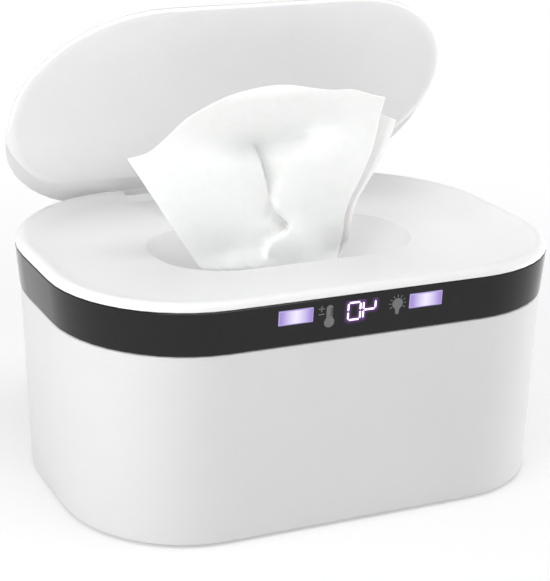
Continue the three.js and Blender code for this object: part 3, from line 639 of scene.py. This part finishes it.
def rounded_outline(length: float, depth: float, corner: float, steps: int) -> list[Point]:
    """The outline of a rounded rectangle about the origin, anticlockwise.

    Args:
        length: its size in X.
        depth: its size in Y.
        corner: the radius of its corners.
        steps: the steps of a corner.

    Returns:
        The outline's points.
    """
    points, quarter = [], math.pi / 2
    for turn, (side_x, side_y) in enumerate(((1, 1), (-1, 1), (-1, -1), (1, -1))):
        centre = (side_x * (length / 2 - corner), side_y * (depth / 2 - corner))
        points += arc(centre, corner, turn * quarter, quarter, steps)
    return points


def bar(start: Point, end: Point, width: float) -> list[Point]:
    """The outline of a round-ended bar from one point to another.

    Args:
        start: the middle of its first end.
        end: the middle of its other end.
        width: its width.

    Returns:
        The outline's points.
    """
    angle, quarter = math.atan2(end[1] - start[1], end[0] - start[0]), math.pi / 2
    tip = arc(end, width / 2, angle - quarter, math.pi, 4)
    return tip + arc(start, width / 2, angle + quarter, math.pi, 4)


def segment(a: Vector, b: Vector, width: float) -> list[Point]:
    """The outline of a digit's bar between two points, with mitred ends.

    Args:
        a: its first tip.
        b: its other tip.
        width: its width.

    Returns:
        The outline's points.
    """
    along = (b - a).normalized()
    aside = Vector((-along.y, along.x)) * width / 2
    tip = along * width / 2
    corners = (a, a + tip + aside, b - tip + aside, b, b - tip - aside, a + tip - aside)
    return [(p.x, p.y) for p in corners]


def in_mm(*values: float) -> tuple[float, ...]:
    """Millimetres as metres."""
    return tuple(value * MM for value in values)


def clamped(value: float) -> float:
    """A value held between 0 and 1."""
    return max(0.0, min(1.0, value))


def blend(low: float, high: float, share: float) -> float:
    """The value a share of the way between two others."""
    return low + (high - low) * share


def smooth_step(share: float) -> float:
    """A share from 0 to 1 that starts and ends gently."""
    held = clamped(share)
    return held * held * (3 - 2 * held)


def bell(distance: float, spread: float) -> float:
    """A share that is 1 at no distance and falls away smoothly over a spread."""
    return math.exp(-((distance / spread) ** 2))


def nearest(point: Vector, start: Vector, end: Vector) -> tuple[float, float]:
    """How far a point is from the stretch between two others, and how far along the nearest is.

    Args:
        point: the point.
        start: the stretch's start.
        end: its end.

    Returns:
        The distance, and the nearest point's share of the way along.
    """
    along = end - start
    share = clamped((point - start).dot(along) / along.length_squared)
    return (point - start - along * share).length, share


def curve_through(points: Sequence[Point], count: int, fine_steps: int = 12) -> list[Vector]:
    """Evenly spaced points on a smooth curve through others.

    Args:
        points: the points that the curve passes through.
        count: how many steps it is divided into.
        fine_steps: how many steps stand between two given points while its length is measured.

    Returns:
        The points, one more than the steps.
    """
    inner = [Vector(point) for point in points]
    ends = [inner[0] * 2 - inner[1], *inner, inner[-1] * 2 - inner[-2]]
    fine = []
    for a, b, c, d in zip(ends, ends[1:], ends[2:], ends[3:]):
        for step in range(fine_steps):
            t = step / fine_steps
            square, cube = a * 2 - b * 5 + c * 4 - d, b * 3 - a - c * 3 + d
            fine.append((b * 2 + (c - a) * t + square * t**2 + cube * t**3) / 2)
    fine.append(ends[-2])
    lengths = [0.0]
    for a, b in zip(fine, fine[1:]):
        lengths.append(lengths[-1] + (b - a).length)
    even, k = [], 0
    for step in range(count + 1):
        goal = lengths[-1] * step / count
        while k < len(fine) - 2 and lengths[k + 1] < goal:
            k += 1
        even.append(fine[k].lerp(fine[k + 1], (goal - lengths[k]) / (lengths[k + 1] - lengths[k])))
    return even


@dataclass
class MouldedParts:
    """The CAD nodes whose shapes stay as they are, dressed in their finishes."""

    crisp_angle: float = 32.0
    weld_reach: float = 0.002 * MM

    def finish_of(self, node: str) -> Finish:
        """Returns the finish whose key the node's name starts with."""
        return NODE_FINISHES[max(filter(node.startswith, NODE_FINISHES), key=len)]

    def smooth(self, node: bpy.types.Object) -> None:
        """Shades a node's curves smooth and keeps its edges crisp, without moving a vertex.

        Args:
            node: the CAD node.
        """
        for polygon in node.data.polygons:
            polygon.use_smooth = True
        weld = node.modifiers.new("weld", "WELD")
        weld.merge_threshold = self.weld_reach
        edges = node.modifiers.new("edges", "EDGE_SPLIT")
        edges.split_angle = math.radians(self.crisp_angle)

    def build(self) -> None:
        """Gives each rigid CAD node its material, and smooths what is curved."""
        for name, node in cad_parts.items():
            if name in SOFT_NODES:
                continue
            material = material_of(self.finish_of(name))
            node.data.materials.clear()
            node.data.materials.append(material)
            self.smooth(node)
            LOG.info("node %s: %s", name, material.name)


@dataclass
class BandFace:
    """The flat front of the black band, on which the symbols lie."""

    low: Vector = field(init=False)
    high: Vector = field(init=False)
    draft: float = 1.6 * MM

    def __post_init__(self) -> None:
        """Reads the band's own box."""
        self.low, self.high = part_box("accent_band")

    def at(self, x: float, z: float, proud: float) -> Vector:
        """Returns the point of the face at x and z, a little proud of it."""
        share = (self.high.z - z) / (self.high.z - self.low.z)
        return Vector((x, self.low.y + self.draft * share - proud, z))


@dataclass
class Decal:
    """One flat symbol on the band, made of closed outlines.

    Args:
        name: the piece's name.
        finish: its finish.
        outlines: the outlines, as points in X and Z.
        thickness: how thick it is.
        lift: how far its back stands proud of the band.
    """

    name: str
    finish: Finish
    outlines: list[list[Point]]
    thickness: float = 0.05 * MM
    lift: float = 0.004 * MM

    def build(self, face: BandFace) -> None:
        """Makes the symbol as thin raised plates on the band's face.

        Args:
            face: the band's face.
        """
        mesh = bmesh.new()
        lifted = ([(x, self.lift, z) for x, z in outline] for outline in self.outlines)
        plates = [outline_face(mesh, outline) for outline in lifted]
        raise_faces(mesh, plates, Vector((0, self.thickness, 0)))
        for vertex in mesh.verts:
            vertex.co = face.at(vertex.co.x, vertex.co.z, vertex.co.y)
        finished(mesh, self.name, self.finish, "base", smooth=False)


# The corners that each bar of a digit joins, in half widths and half heights from its middle.
DIGIT_BARS = {
    "a": ((-1, 1), (1, 1)),
    "b": ((1, 1), (1, 0)),
    "c": ((1, 0), (1, -1)),
    "d": ((1, -1), (-1, -1)),
    "e": ((-1, -1), (-1, 0)),
    "f": ((-1, 0), (-1, 1)),
    "g": ((-1, 0), (1, 0)),
}


@dataclass
class DisplayGraphics:
    """The lit digits, the two grey symbols and the glow round the digits."""

    face: BandFace = field(default_factory=BandFace)
    centre_z: float = 98.2 * MM
    digit_width: float = 5.5 * MM
    digit_height: float = 7.6 * MM
    digit_centres: tuple[float, float] = (-3.6 * MM, 3.3 * MM)
    stroke: float = 0.75 * MM
    gap: float = 0.3 * MM
    halo_reach: float = 1.05 * MM
    halo_step: float = 0.3 * MM
    halo_margin: float = 3.2 * MM
    halo_lift: float = 0.02 * MM
    lit: list[tuple[Vector, Vector]] = field(init=False)

    def __post_init__(self) -> None:
        """Lists the lit bars, as the photo shows them."""
        first, second = self.digit_centres
        self.lit = self.bars(first, "abcdef") + self.bars(second, "befg")

    def bars(self, centre_x: float, lit: str) -> list[tuple[Vector, Vector]]:
        """Returns the lit bars of one seven-bar digit.

        Args:
            centre_x: the digit's middle.
            lit: the letters of its lit bars, a to g clockwise from the top.

        Returns:
            Pairs of end points.
        """
        half_x, half_z, bars = self.digit_width / 2, self.digit_height / 2, []
        for ends in (DIGIT_BARS[letter] for letter in lit):
            a, b = (Vector((centre_x + half_x * x, self.centre_z + half_z * z)) for x, z in ends)
            inset = (b - a).normalized() * self.gap
            bars.append((a + inset, b - inset))
        return bars

    def nearness(self, x: float, z: float) -> float:
        """Returns how strongly the digits light a point, from 0 to 1.

        Args:
            x: the point's X.
            z: its Z.

        Returns:
            The glow's share there.
        """
        point = Vector((x, z))
        reach = min(nearest(point, a, b)[0] for a, b in self.lit)
        return bell(reach, self.halo_reach)

    def build_halo(self) -> None:
        """Makes the window in front of the digits, which carries their glow."""
        wide, tall = (size / 2 + self.halo_margin for size in (self.digit_width, self.digit_height))
        x0, x1 = self.digit_centres[0] - wide, self.digit_centres[1] + wide
        z0, z1 = self.centre_z - tall, self.centre_z + tall
        columns, rows = (round(size / self.halo_step) for size in (x1 - x0, z1 - z0))
        mesh = bmesh.new()
        sheet_grid(
            mesh, columns, rows, lambda u, v: Vector((blend(x0, x1, u), 0.0, blend(z0, z1, v)))
        )
        layer = mesh.verts.layers.float.new(GLOW_ATTRIBUTE)
        for vertex in mesh.verts:
            x, _, z = vertex.co
            vertex[layer] = self.nearness(x, z)
            vertex.co = self.face.at(x, z, self.halo_lift)
        finished(mesh, "display_window_glow", DIGIT_HALO, "base")

    def thermometer(self) -> list[Point]:
        """Returns the thermometer's outline, with a stepped scale on its right side.

        Returns:
            The outline's points.
        """
        x, foot, top = in_mm(-14.8, 94.7, 102.3)
        bulb, stem = in_mm(2.3, 1.45)
        notches, notch_depth, notch_gap = 6, 1.1 * MM, 0.6 * MM
        opening = math.asin(stem / bulb)
        outline = arc((x, foot), bulb, opening + math.pi / 2, 2 * math.pi - 2 * opening, 26)
        start = foot + bulb * math.cos(opening) + notch_gap
        step = (top - stem - start) / notches
        edge, inner = x + stem, x + stem - notch_depth
        for z in (start + step * k for k in range(notches)):
            outline += [(edge, z), (edge, z + step / 2), (inner, z + step / 2), (inner, z + step)]
        return outline + arc((x, top - stem), stem, 0.0, math.pi, 12)

    def build_thermometer(self) -> None:
        """Makes the thermometer and its plus and minus."""
        x, plus_z, minus_z = in_mm(-18.5, 101.0, 98.6)
        arm, width = in_mm(1.2, 0.42)
        outlines = [
            self.thermometer(),
            bar((x - arm, plus_z), (x + arm, plus_z), width),
            bar((x, plus_z + width), (x, plus_z + arm), width),
            bar((x, plus_z - arm), (x, plus_z - width), width),
            bar((x - arm, minus_z), (x + arm, minus_z), width),
        ]
        Decal("icon_temperature", ICON_GREY, outlines).build(self.face)

    def build_lamp(self) -> None:
        """Makes the light bulb and its rays."""
        x, z, radius = in_mm(16.4, 98.9, 2.45)
        neck_z, neck, shoulder = in_mm(94.9, 0.85, 1.5)
        dip, flare = 0.55, 1.15
        rays, first_ray, all_rays = 9, -28, 236
        inner, outer, width = in_mm(3.0, 3.85, 0.36)
        outline = arc((x, z), radius, -dip, math.pi + 2 * dip, 24)
        outline.append((x - neck * flare, neck_z + shoulder))
        outline += arc((x, neck_z), neck, math.pi, math.pi, 8)
        outline.append((x + neck * flare, neck_z + shoulder))
        outlines = [outline]
        for k in range(rays):
            angle = math.radians(first_ray + all_rays * k / (rays - 1))
            start, end = (arc((x, z), reach, angle, 0.0, 1)[0] for reach in (inner, outer))
            outlines.append(bar(start, end, width))
        Decal("icon_lamp", ICON_GREY, outlines).build(self.face)

    def build(self) -> None:
        """Makes every symbol on the band."""
        self.build_halo()
        digits = [segment(start, end, self.stroke) for start, end in self.lit]
        Decal("display_digits", LIT_SEGMENT, digits, 0.08 * MM).build(self.face)
        self.build_thermometer()
        self.build_lamp()


@dataclass(frozen=True)
class Dent:
    """One soft swelling or hollow of the cloth, in millimetres.

    Args:
        x: its middle's X.
        z: its middle's Z.
        wide: its half width.
        tall: its half height.
        height: how far it stands out, or goes in if it is negative.
    """

    x: float
    z: float
    wide: float
    tall: float
    height: float

    def at(self, x: float, z: float) -> float:
        """Returns its height at a point, all in metres."""
        across, up = (x - self.x * MM) / (self.wide * MM), (z - self.z * MM) / (self.tall * MM)
        return self.height * MM * math.exp(-(across**2) - up**2)


@dataclass(frozen=True)
class Fold:
    """One point of a fold's line, with how the cloth lies on either side of it.

    Args:
        place: where it is, as X and Z.
        right: the height and width of its right side, seen from the front where the line runs down.
        left: the height and width of its left side.
    """

    place: Point
    right: Point
    left: Point


@dataclass(frozen=True)
class Crease:
    """One sharp fold, whose two sides lie at different heights.

    Args:
        folds: its line's points, from the top.
        ramp: how wide the step between its sides is.
        blend: how gently one stretch of the line gives way to the next.
        fall: how squarely a side falls away.
    """

    folds: tuple[Fold, ...]
    ramp: float = 1.7 * MM
    blend: float = 1.5 * MM
    fall: float = 1.6

    def at(self, x: float, z: float) -> float:
        """Returns the fold's height at a point, which fades out away from its line.

        Args:
            x: the point's X.
            z: its Z.

        Returns:
            The height.
        """
        point = Vector((x, z))
        best, aside, reached = math.inf, 0.0, []
        for start, end in zip(self.folds, self.folds[1:]):
            a, b = Vector(start.place), Vector(end.place)
            along = b - a
            reach, share = nearest(point, a, b)
            reached.append((reach, share, start, end))
            if reach < best:
                best, aside = reach, along.x * (point.y - a.y) - along.y * (point.x - a.x)
        total, left, right = 0.0, 0.0, 0.0
        for reach, share, start, end in reached:
            weight = math.exp((best - reach) / self.blend)
            total += weight
            left += weight * self.side(start.left, end.left, share, best)
            right += weight * self.side(start.right, end.right, share, best)
        signed = math.copysign(best, aside)
        return blend(left, right, smooth_step(0.5 + signed / self.ramp)) / total

    def side(self, first: Point, second: Point, share: float, reach: float) -> float:
        """Returns how high one side lies at a distance from the line."""
        height, width = (blend(p, q, share) for p, q in zip(first, second))
        return height * math.exp(-((reach / width) ** self.fall))


# The wipe's shape in millimetres: its top edge as X and Z, its dents, and for each point of its
# crease the X, Z, right height, right width, left height and left width.
TOP_LINE = (
    (-74.4, 150.0), (-63.9, 152.6), (-55.0, 158.8), (-48.4, 164.5), (-40.6, 169.0),
    (-27.0, 174.1), (-12.9, 176.5), (-1.1, 176.5), (11.0, 174.3), (20.7, 172.8),
    (30.6, 172.4), (40.6, 169.4), (47.0, 167.8),
)
DENTS = (
    Dent(-46, 132, 22, 28, 5.0),
    Dent(25, 137, 17, 26, 3.4),
    Dent(-10, 172, 38, 8.5, 6.0),
    Dent(-15, 155, 21, 8.5, -13.0),
    Dent(-12, 139, 15, 14, -3.0),
    Dent(9, 157, 12, 7.5, -5.0),
    Dent(26, 100, 7.5, 7, -6.5),
    Dent(-6, 91, 46, 17, 6.2),
    Dent(0, 103, 9, 9, 3.0),
    Dent(-30, 104, 10, 6, -2.0),
)
CREASE_LINE = (
    (-17.6, 155.0, 0.0, 4.0, 0.0, 3.0),
    (-16.4, 150.5, -2.6, 6.0, 0.4, 3.0),
    (-13.5, 143.5, -5.2, 7.0, 0.8, 3.0),
    (-10.9, 134.5, -5.6, 7.0, 0.2, 4.0),
    (-9.4, 127.5, -4.6, 5.0, -2.4, 6.0),
    (-5.2, 121.0, -0.4, 4.0, -5.6, 8.0),
    (0.2, 115.6, 0.8, 4.0, -7.8, 9.0),
    (1.6, 113.0, 1.4, 4.5, -8.2, 9.0),
    (0.8, 110.6, 2.4, 6.0, -7.4, 8.0),
    (-2.6, 108.4, 3.2, 7.5, -5.6, 7.0),
    (-6.6, 107.0, 3.2, 7.5, -4.0, 6.0),
    (-8.6, 103.6, 2.6, 7.0, -2.6, 4.0),
    (-8.9, 98.5, 0.0, 6.0, 0.0, 3.0),
)
# How the wipe's right edge bends out or in: by how much, round which height, and over what spread.
EDGE_BENDS = (in_mm(-3.5, 118, 12), in_mm(1.0, 146, 10))
# The cloth's uneven lie: its patches' width and height, where the noise starts, and its depth.
UNEVENNESS = ((16 * MM, 26 * MM, 0.7, 0.6 * MM), (5 * MM, 9 * MM, 4.2, 0.18 * MM))
# The pleats above the slot: how many waves cross the wipe, where they start, and their height.
PLEATS = ((6.2, 1.1, 1.3 * MM), (11.3, 0.0, 0.7 * MM))


@dataclass
class PopUpWipe:
    """The wipe that stands in the bowl: one sheet, folded double at its left edge.

    It is gathered in the slot, opens above it and fans out. Its relief stands out along one
    direction, forwards, left and up. X and Z are the body's, and Y is taken from the body's middle.

    Args:
        crowding: how far the columns crowd to each layer's middle, where the crease is.
        foot_share: the share of the rows below the slot.
        neck_share: the share of the rows below the bowl's lip.
        plane_y: where the wipe stands above the slot.
        lip_left: its left edge at the bowl's lip, as X and Z.
        fold_square: how squarely the left edge is folded.
        part_rise: how far up the layers part, in heights of the neck.
        rear_drop: how far the rear layer's top lies lower, everywhere and towards its right.
        rear_reach: how far that layer shows past the right edge, everywhere and towards the top.
        rear_share: the share of the front's swellings that it takes up.
        pleat_rise: how soon the pleats start above the slot.
        pleat_end: where they begin to fade, in heights of the neck.
        pleat_fade: how fast they fade.
    """

    columns: int = 260
    rows: int = 150
    crowding: float = 0.5
    front_share: float = 0.76
    foot_share: float = 0.06
    neck_share: float = 0.18
    thickness: float = 0.5 * MM
    neck_half: float = 22 * MM
    neck_z: float = 87 * MM
    slot_y: float = -4.75 * MM
    plane_y: float = -9.5 * MM
    lip_left: Point = in_mm(-40.8, 97.5)
    lip_right: Point = in_mm(25.4, 92.5)
    neck_gap: float = 1.4 * MM
    layer_gap: float = 4.5 * MM
    part_rise: float = 4.0
    fold_square: int = 6
    top_steps: int = 200
    rear_drop: Point = in_mm(1.0, 11)
    rear_reach: Point = in_mm(3.7, 4.3)
    rear_share: float = 0.55
    pleat_rise: float = 1.5
    pleat_end: float = 0.6
    pleat_fade: float = 6.5
    stand_out: tuple[float, float, float] = (-0.388, -0.864, 0.32)
    crease: Crease = field(init=False)
    top: list[Vector] = field(init=False)
    foot_z: float = field(init=False)
    middle_y: float = field(init=False)

    def __post_init__(self) -> None:
        """Reads what the frame gives, and draws the top edge and the crease."""
        folds = (in_mm(*row) for row in CREASE_LINE)
        self.crease = Crease(tuple(Fold(row[:2], row[2:4], row[4:]) for row in folds))
        self.top = curve_through([in_mm(*point) for point in TOP_LINE], self.top_steps)
        self.foot_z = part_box("wipe_stack")[1].z + self.thickness
        low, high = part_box("outer_housing")
        self.middle_y = (low.y + high.y) / 2

    def edge_bow(self, across: float, z: float) -> float:
        """Returns how far the right edge bends in, and out again above."""
        bend = sum(height * bell(z - middle, spread) for height, middle, spread in EDGE_BENDS)
        return bend * max(0.0, across) ** 4

    def relief(self, x: float, z: float) -> float:
        """Returns how far the cloth stands out at a point.

        Args:
            x: the point's X.
            z: its Z.

        Returns:
            The height along the direction that the relief stands out.
        """
        height = sum(dent.at(x, z) for dent in DENTS) + self.crease.at(x, z)
        for wide, tall, start, depth in UNEVENNESS:
            height += noise.noise(Vector((x / wide, z / tall, start))) * depth
        return height

    def gathers(self, across: float, rise: float) -> float:
        """Returns the small pleats that run up from the slot and fade out.

        Args:
            across: how far from the wipe's middle the point is, from -1 to 1.
            rise: how far up from the slot it is, in heights of the neck.

        Returns:
            How far the pleats push it along Y.
        """
        angle = across * math.pi
        pleats = sum(math.cos(angle * waves + start) * high for waves, start, high in PLEATS)
        fade = math.exp(-max(0.0, rise - self.pleat_end) * self.pleat_fade)
        return pleats * smooth_step(rise * self.pleat_rise) * fade

    def spot(self, side: float, share: float, rise: float, back: bool) -> Vector:
        """Returns where the flat wipe has a point, as X and Z.

        Args:
            side: how far from its left edge the point lies, as a share.
            share: how far up the sheet it lies.
            rise: how far up from the slot it lies, in heights of the neck.
            back: whether it is on the rear layer.

        Returns:
            The point, before the relief.
        """
        across = side * 2 - 1
        neck = Vector((across * self.neck_half, self.neck_z))
        if share < self.foot_share:
            return Vector((neck.x, blend(self.foot_z, self.neck_z, share / self.foot_share)))
        lip = Vector(self.lip_left).lerp(Vector(self.lip_right), side)
        if share < self.neck_share:
            return neck.lerp(lip, rise)
        up = (share - self.neck_share) / (1 - self.neck_share)
        edge = self.top[round(side * (len(self.top) - 1))].copy()
        if back:
            edge.y -= self.rear_drop[0] + self.rear_drop[1] * side**3
        spot = lip.lerp(edge, up)
        spot.x += self.edge_bow(across, spot.y)
        if back:
            spot.x += (self.rear_reach[0] + self.rear_reach[1] * up) * side**2
        return spot

    def point(self, turn: float, share: float) -> Vector:
        """Returns a point of the doubled sheet.

        Args:
            turn: how far round the sheet it lies, from the front layer's right edge, 0, by the left
                fold to the rear layer's right edge, 1.
            share: how far up the sheet it lies, from the stack, 0, to the top edge, 1.

        Returns:
            The point.
        """
        back, front = turn > self.front_share, self.front_share
        side = (turn - front) / (1 - front) if back else 1 - turn / front
        side = clamped(side + self.crowding * math.sin(2 * math.pi * side) / (2 * math.pi))
        rise = max(0.0, (share - self.foot_share) / (self.neck_share - self.foot_share))
        spot = self.spot(side, share, rise, back)
        opened = math.sqrt(1 - (1 - side) ** self.fold_square)
        parted = smooth_step(rise / self.part_rise)
        gap = blend(self.neck_gap, self.layer_gap, parted) * opened / 2
        y = blend(self.slot_y, self.plane_y, smooth_step(rise)) + (gap if back else -gap)
        place = Vector((spot.x, self.middle_y + y + self.gathers(side * 2 - 1, rise), spot.y))
        height = self.relief(spot.x, spot.y) if rise > 0 else 0.0
        if back and height > 0:
            height *= self.rear_share
        return place + Vector(self.stand_out) * smooth_step(rise) * height

    def build(self) -> None:
        mesh = bmesh.new()
        sheet_grid(mesh, self.columns, self.rows, self.point)
        area = sum(face.calc_area() for face in mesh.faces)
        piece = finished(mesh, "wipe_sheet", WIPE_CLOTH, "top_cover")
        thicken = piece.modifiers.new("thickness", "SOLIDIFY")
        thicken.thickness = self.thickness
        thicken.offset = 0
        apply_modifiers(piece)
        for polygon in piece.data.polygons:
            polygon.use_smooth = True
        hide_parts("pop_up_wipe")
        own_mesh(piece)
        LOG.info("wipe sheet: %.4f square metres of cloth", area)


@dataclass
class WipeStack:
    """The folded wipes in the tub, with each fold's edge showing at the sides.

    Args:
        ridge: how far in each step of a fold lies, as shares of the fold's depth.
        seat: how far the stack stays inside its node's box.
        uneven: how far a fold wanders.
        crown_flat: half the depth of the dome's flat middle.
        crown_round: how quickly the dome turns in.
    """

    layers: int = 34
    ridge: tuple[float, float, float] = (1.0, 0.0, 0.4)
    fold_depth: float = 0.6 * MM
    corner: float = 13 * MM
    corner_steps: int = 10
    seat: float = 0.3 * MM
    uneven: float = 0.2 * MM
    uneven_pace: float = 0.37
    crown: float = 2.5 * MM
    crown_steps: int = 6
    crown_flat: float = 6 * MM
    crown_round: float = 1.6

    def build(self) -> None:
        """Raises the stack fold by fold, with a ridge for each, and rounds its top."""
        low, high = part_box("wipe_stack")
        centre, size = (low + high) / 2, high - low
        inside = 4 * self.fold_depth
        outline = rounded_outline(size.x - inside, size.y - inside, self.corner, self.corner_steps)
        count, steps = self.layers * len(self.ridge), []
        for step in range(count):
            wander = noise.noise(Vector((step * self.uneven_pace, 0.5, 0.0))) * self.uneven
            inset = self.ridge[step % len(self.ridge)] * self.fold_depth + self.seat + wander
            steps.append(((size.z - self.crown) / count, inset))
        level = 0.0
        for part in (k / self.crown_steps for k in range(1, self.crown_steps + 1)):
            below, level = level, math.sin(part * math.pi / 2)
            inset = blend(self.fold_depth, size.y / 2 - self.crown_flat, part**self.crown_round)
            steps.append((self.crown * (level - below), inset))
        mesh = bmesh.new()
        top = outline_face(mesh, [(x, y, low.z) for x, y in outline])
        for rise, inset in steps:
            top = bmesh.ops.extrude_discrete_faces(mesh, faces=[top])["faces"][0]
            bmesh.ops.translate(mesh, verts=top.verts, vec=(0, 0, rise))
            reach = [max(vertex.co[axis] for vertex in top.verts) for axis in (0, 1)]
            scale = ((size.x / 2 - inset) / reach[0], (size.y / 2 - inset) / reach[1], 1.0)
            bmesh.ops.scale(mesh, vec=scale, verts=top.verts)
        bmesh.ops.translate(mesh, verts=mesh.verts, vec=(centre.x, centre.y, 0))
        piece = finished(mesh, "folded_wipes", WIPE_CLOTH, "base")
        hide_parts("wipe_stack")


@dataclass
class InsulationPad:
    """The felted pad under the heater."""

    corner: float = 11 * MM
    corner_steps: int = 8
    rim: float = 1.2 * MM
    rim_steps: int = 3

    def build(self) -> None:
        """Raises the pad from its outline and softens both of its rims."""
        low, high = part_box("insulation_pad")
        centre, size = (low + high) / 2, high - low
        mesh = bmesh.new()
        outline = rounded_outline(size.x, size.y, self.corner, self.corner_steps)
        base = outline_face(mesh, [(centre.x + x, centre.y + y, low.z) for x, y in outline])
        raise_faces(mesh, [base], Vector((0, 0, size.z)))
        level = self.rim / 9
        rims = [e for e in mesh.edges if abs(e.verts[0].co.z - e.verts[1].co.z) < level]
        steps = {"segments": self.rim_steps, "profile": 0.5, "affect": "EDGES", "material": -1}
        bmesh.ops.bevel(mesh, geom=rims, offset=self.rim, **steps)
        piece = finished(mesh, "insulation_felt", FELT, "base")
        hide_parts("insulation_pad")


@dataclass(frozen=True)
class SoftBox:
    """One large soft light.

    Args:
        name: the light's name.
        place: where it stands.
        aim: the point it faces.
        size: its width and height.
        power: its power in watts.
    """

    name: str
    place: tuple[float, float, float]
    aim: tuple[float, float, float]
    size: Point
    power: float

    def build(self) -> None:
        """Adds the light to the scene."""
        data = bpy.data.lights.new(self.name, "AREA")
        data.shape = "RECTANGLE"
        data.size, data.size_y = self.size
        data.energy = self.power
        light = linked(self.name, data)
        light.location = self.place
        facing = Vector(self.aim) - Vector(self.place)
        light.rotation_euler = facing.to_track_quat("-Z", "Y").to_euler()


SOFT_BOXES = (
    SoftBox("top_box", (0.0, 0.1, 1.5), (0, 0, 0.1), (1.4, 1.2), 3.8),
    SoftBox("front_top_box", (0.0, -0.45, 1.5), (0, 0, 0.1), (1.2, 0.8), 8.6),
    SoftBox("front_left_box", (-0.85, -0.85, 0.9), (0, 0, 0.1), (0.8, 0.7), 1.0),
    SoftBox("left_panel", (-0.65, -0.3, 0.22), (-0.1, -0.05, 0.06), (0.5, 0.5), 2.0),
    SoftBox("left_side_box", (-1.2, 0.15, 0.35), (0, 0, 0.06), (0.6, 0.6), 1.5),
    SoftBox("right_panel", (1.3, -0.2, 0.12), (0, 0, 0.08), (0.9, 0.24), 9.0),
)


@dataclass
class Studio:
    """The pale floor, the soft lights, the white surroundings and the camera.

    Args:
        surroundings: how much the white surroundings light the object.
        floor_white: how white the camera sees the floor at the object.
        floor_near: where the floor starts to turn whiter.
        floor_far: where it is all white.
    """

    aim_x: float = -0.12 * MM
    aim_z: float = 78.97 * MM
    azimuth: float = -24.20
    elevation: float = 18.76
    roll: float = 0.86
    distance: float = 806.3 * MM
    lens: float = 109.17
    surroundings: float = 0.42
    floor_half: float = 3.0
    floor_patch: float = 0.4
    floor_white: float = 0.4
    floor_near: float = 0.12
    floor_far: float = 0.55

    def build_floor(self) -> None:
        """Lays a wide pale floor in faint broad patches of tone, which the camera sees whiter away
        from the object.
        """
        mesh = bmesh.new()
        bmesh.ops.create_grid(mesh, x_segments=8, y_segments=8, size=self.floor_half)
        floor = linked("studio_floor", mesh_data(mesh, "studio_floor"))
        material = bpy.data.materials.new("studio_floor")
        graph = ShaderGraph(material)
        tone = graph.patches(self.floor_patch, (0.9, 0.9, 0.9), (0.92, 0.92, 0.92))
        graph.shade({"Roughness": 0.9, "Specular IOR Level": 0.1, "Base Color": tone})
        white = graph.add("ShaderNodeEmission", {"Color": WHITE, "Strength": 1.0})
        away = graph.add("ShaderNodeVectorMath", {0: graph.coordinates()}, operation="LENGTH")
        ends = {1: self.floor_near, 2: self.floor_far, 3: self.floor_white, 4: 1.0}
        inputs = {0: away.outputs["Value"], **ends}
        far = graph.add("ShaderNodeMapRange", inputs, interpolation_type="SMOOTHSTEP").outputs[0]
        share = graph.math("MULTIPLY", graph.seen_rays(), far)
        inputs = {0: share, 1: graph.shader.outputs[0], 2: white.outputs[0]}
        mixed = graph.add("ShaderNodeMixShader", inputs).outputs[0]
        graph.feed(graph.tree.nodes["Material Output"].inputs["Surface"], mixed)
        floor.data.materials.append(material)

    def build_surroundings(self) -> None:
        """Makes the world white where it is seen, and dimmer where it lights the object."""
        world = bpy.data.worlds.new("studio")
        graph = ShaderGraph(world)
        background = graph.tree.nodes["Background"].inputs
        graph.feed(background["Color"], WHITE)
        strength = graph.spread(graph.seen_rays(), self.surroundings, 1.0)
        graph.feed(background["Strength"], strength)
        bpy.context.scene.world = world

    def build_camera(self) -> None:
        """Stands the camera where the photo was taken from, aimed at the body's middle."""
        turn, rise, roll = (math.radians(v) for v in (self.azimuth, self.elevation, self.roll))
        level = math.cos(rise)
        back = Vector((math.sin(turn) * level, -math.cos(turn) * level, math.sin(rise)))
        right = Vector((math.cos(turn), math.sin(turn), 0.0))
        up = back.cross(right)
        leaned_right = right * math.cos(roll) + up * math.sin(roll)
        leaned_up = up * math.cos(roll) - right * math.sin(roll)
        low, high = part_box("outer_housing")
        target = Vector((self.aim_x, (low.y + high.y) / 2, self.aim_z))
        data = bpy.data.cameras.new("photo_camera")
        data.lens = self.lens
        data.sensor_width = 36.0
        data.clip_start, data.clip_end = 0.01, 20.0
        camera = linked("photo_camera", data)
        axes = (leaned_right, leaned_up, back, target + back * self.distance)
        rows = [[axis[k] for axis in axes] for k in range(3)]
        camera.matrix_world = Matrix((*rows, (0.0, 0.0, 0.0, 1.0)))
        bpy.context.scene.camera = camera

    def build(self) -> None:
        """Sets up the whole studio."""
        bpy.context.scene.view_settings.view_transform = "Standard"
        self.build_camera()
        self.build_floor()
        for box in SOFT_BOXES:
            box.build()
        self.build_surroundings()


def main() -> None:
    logging.basicConfig(level=logging.INFO, format="%(name)s: %(message)s")
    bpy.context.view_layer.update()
    Studio().build()
    MouldedParts().build()
    DisplayGraphics().build()
    PopUpWipe().build()
    WipeStack().build()
    InsulationPad().build()


if __name__ == "__main__":
    main()
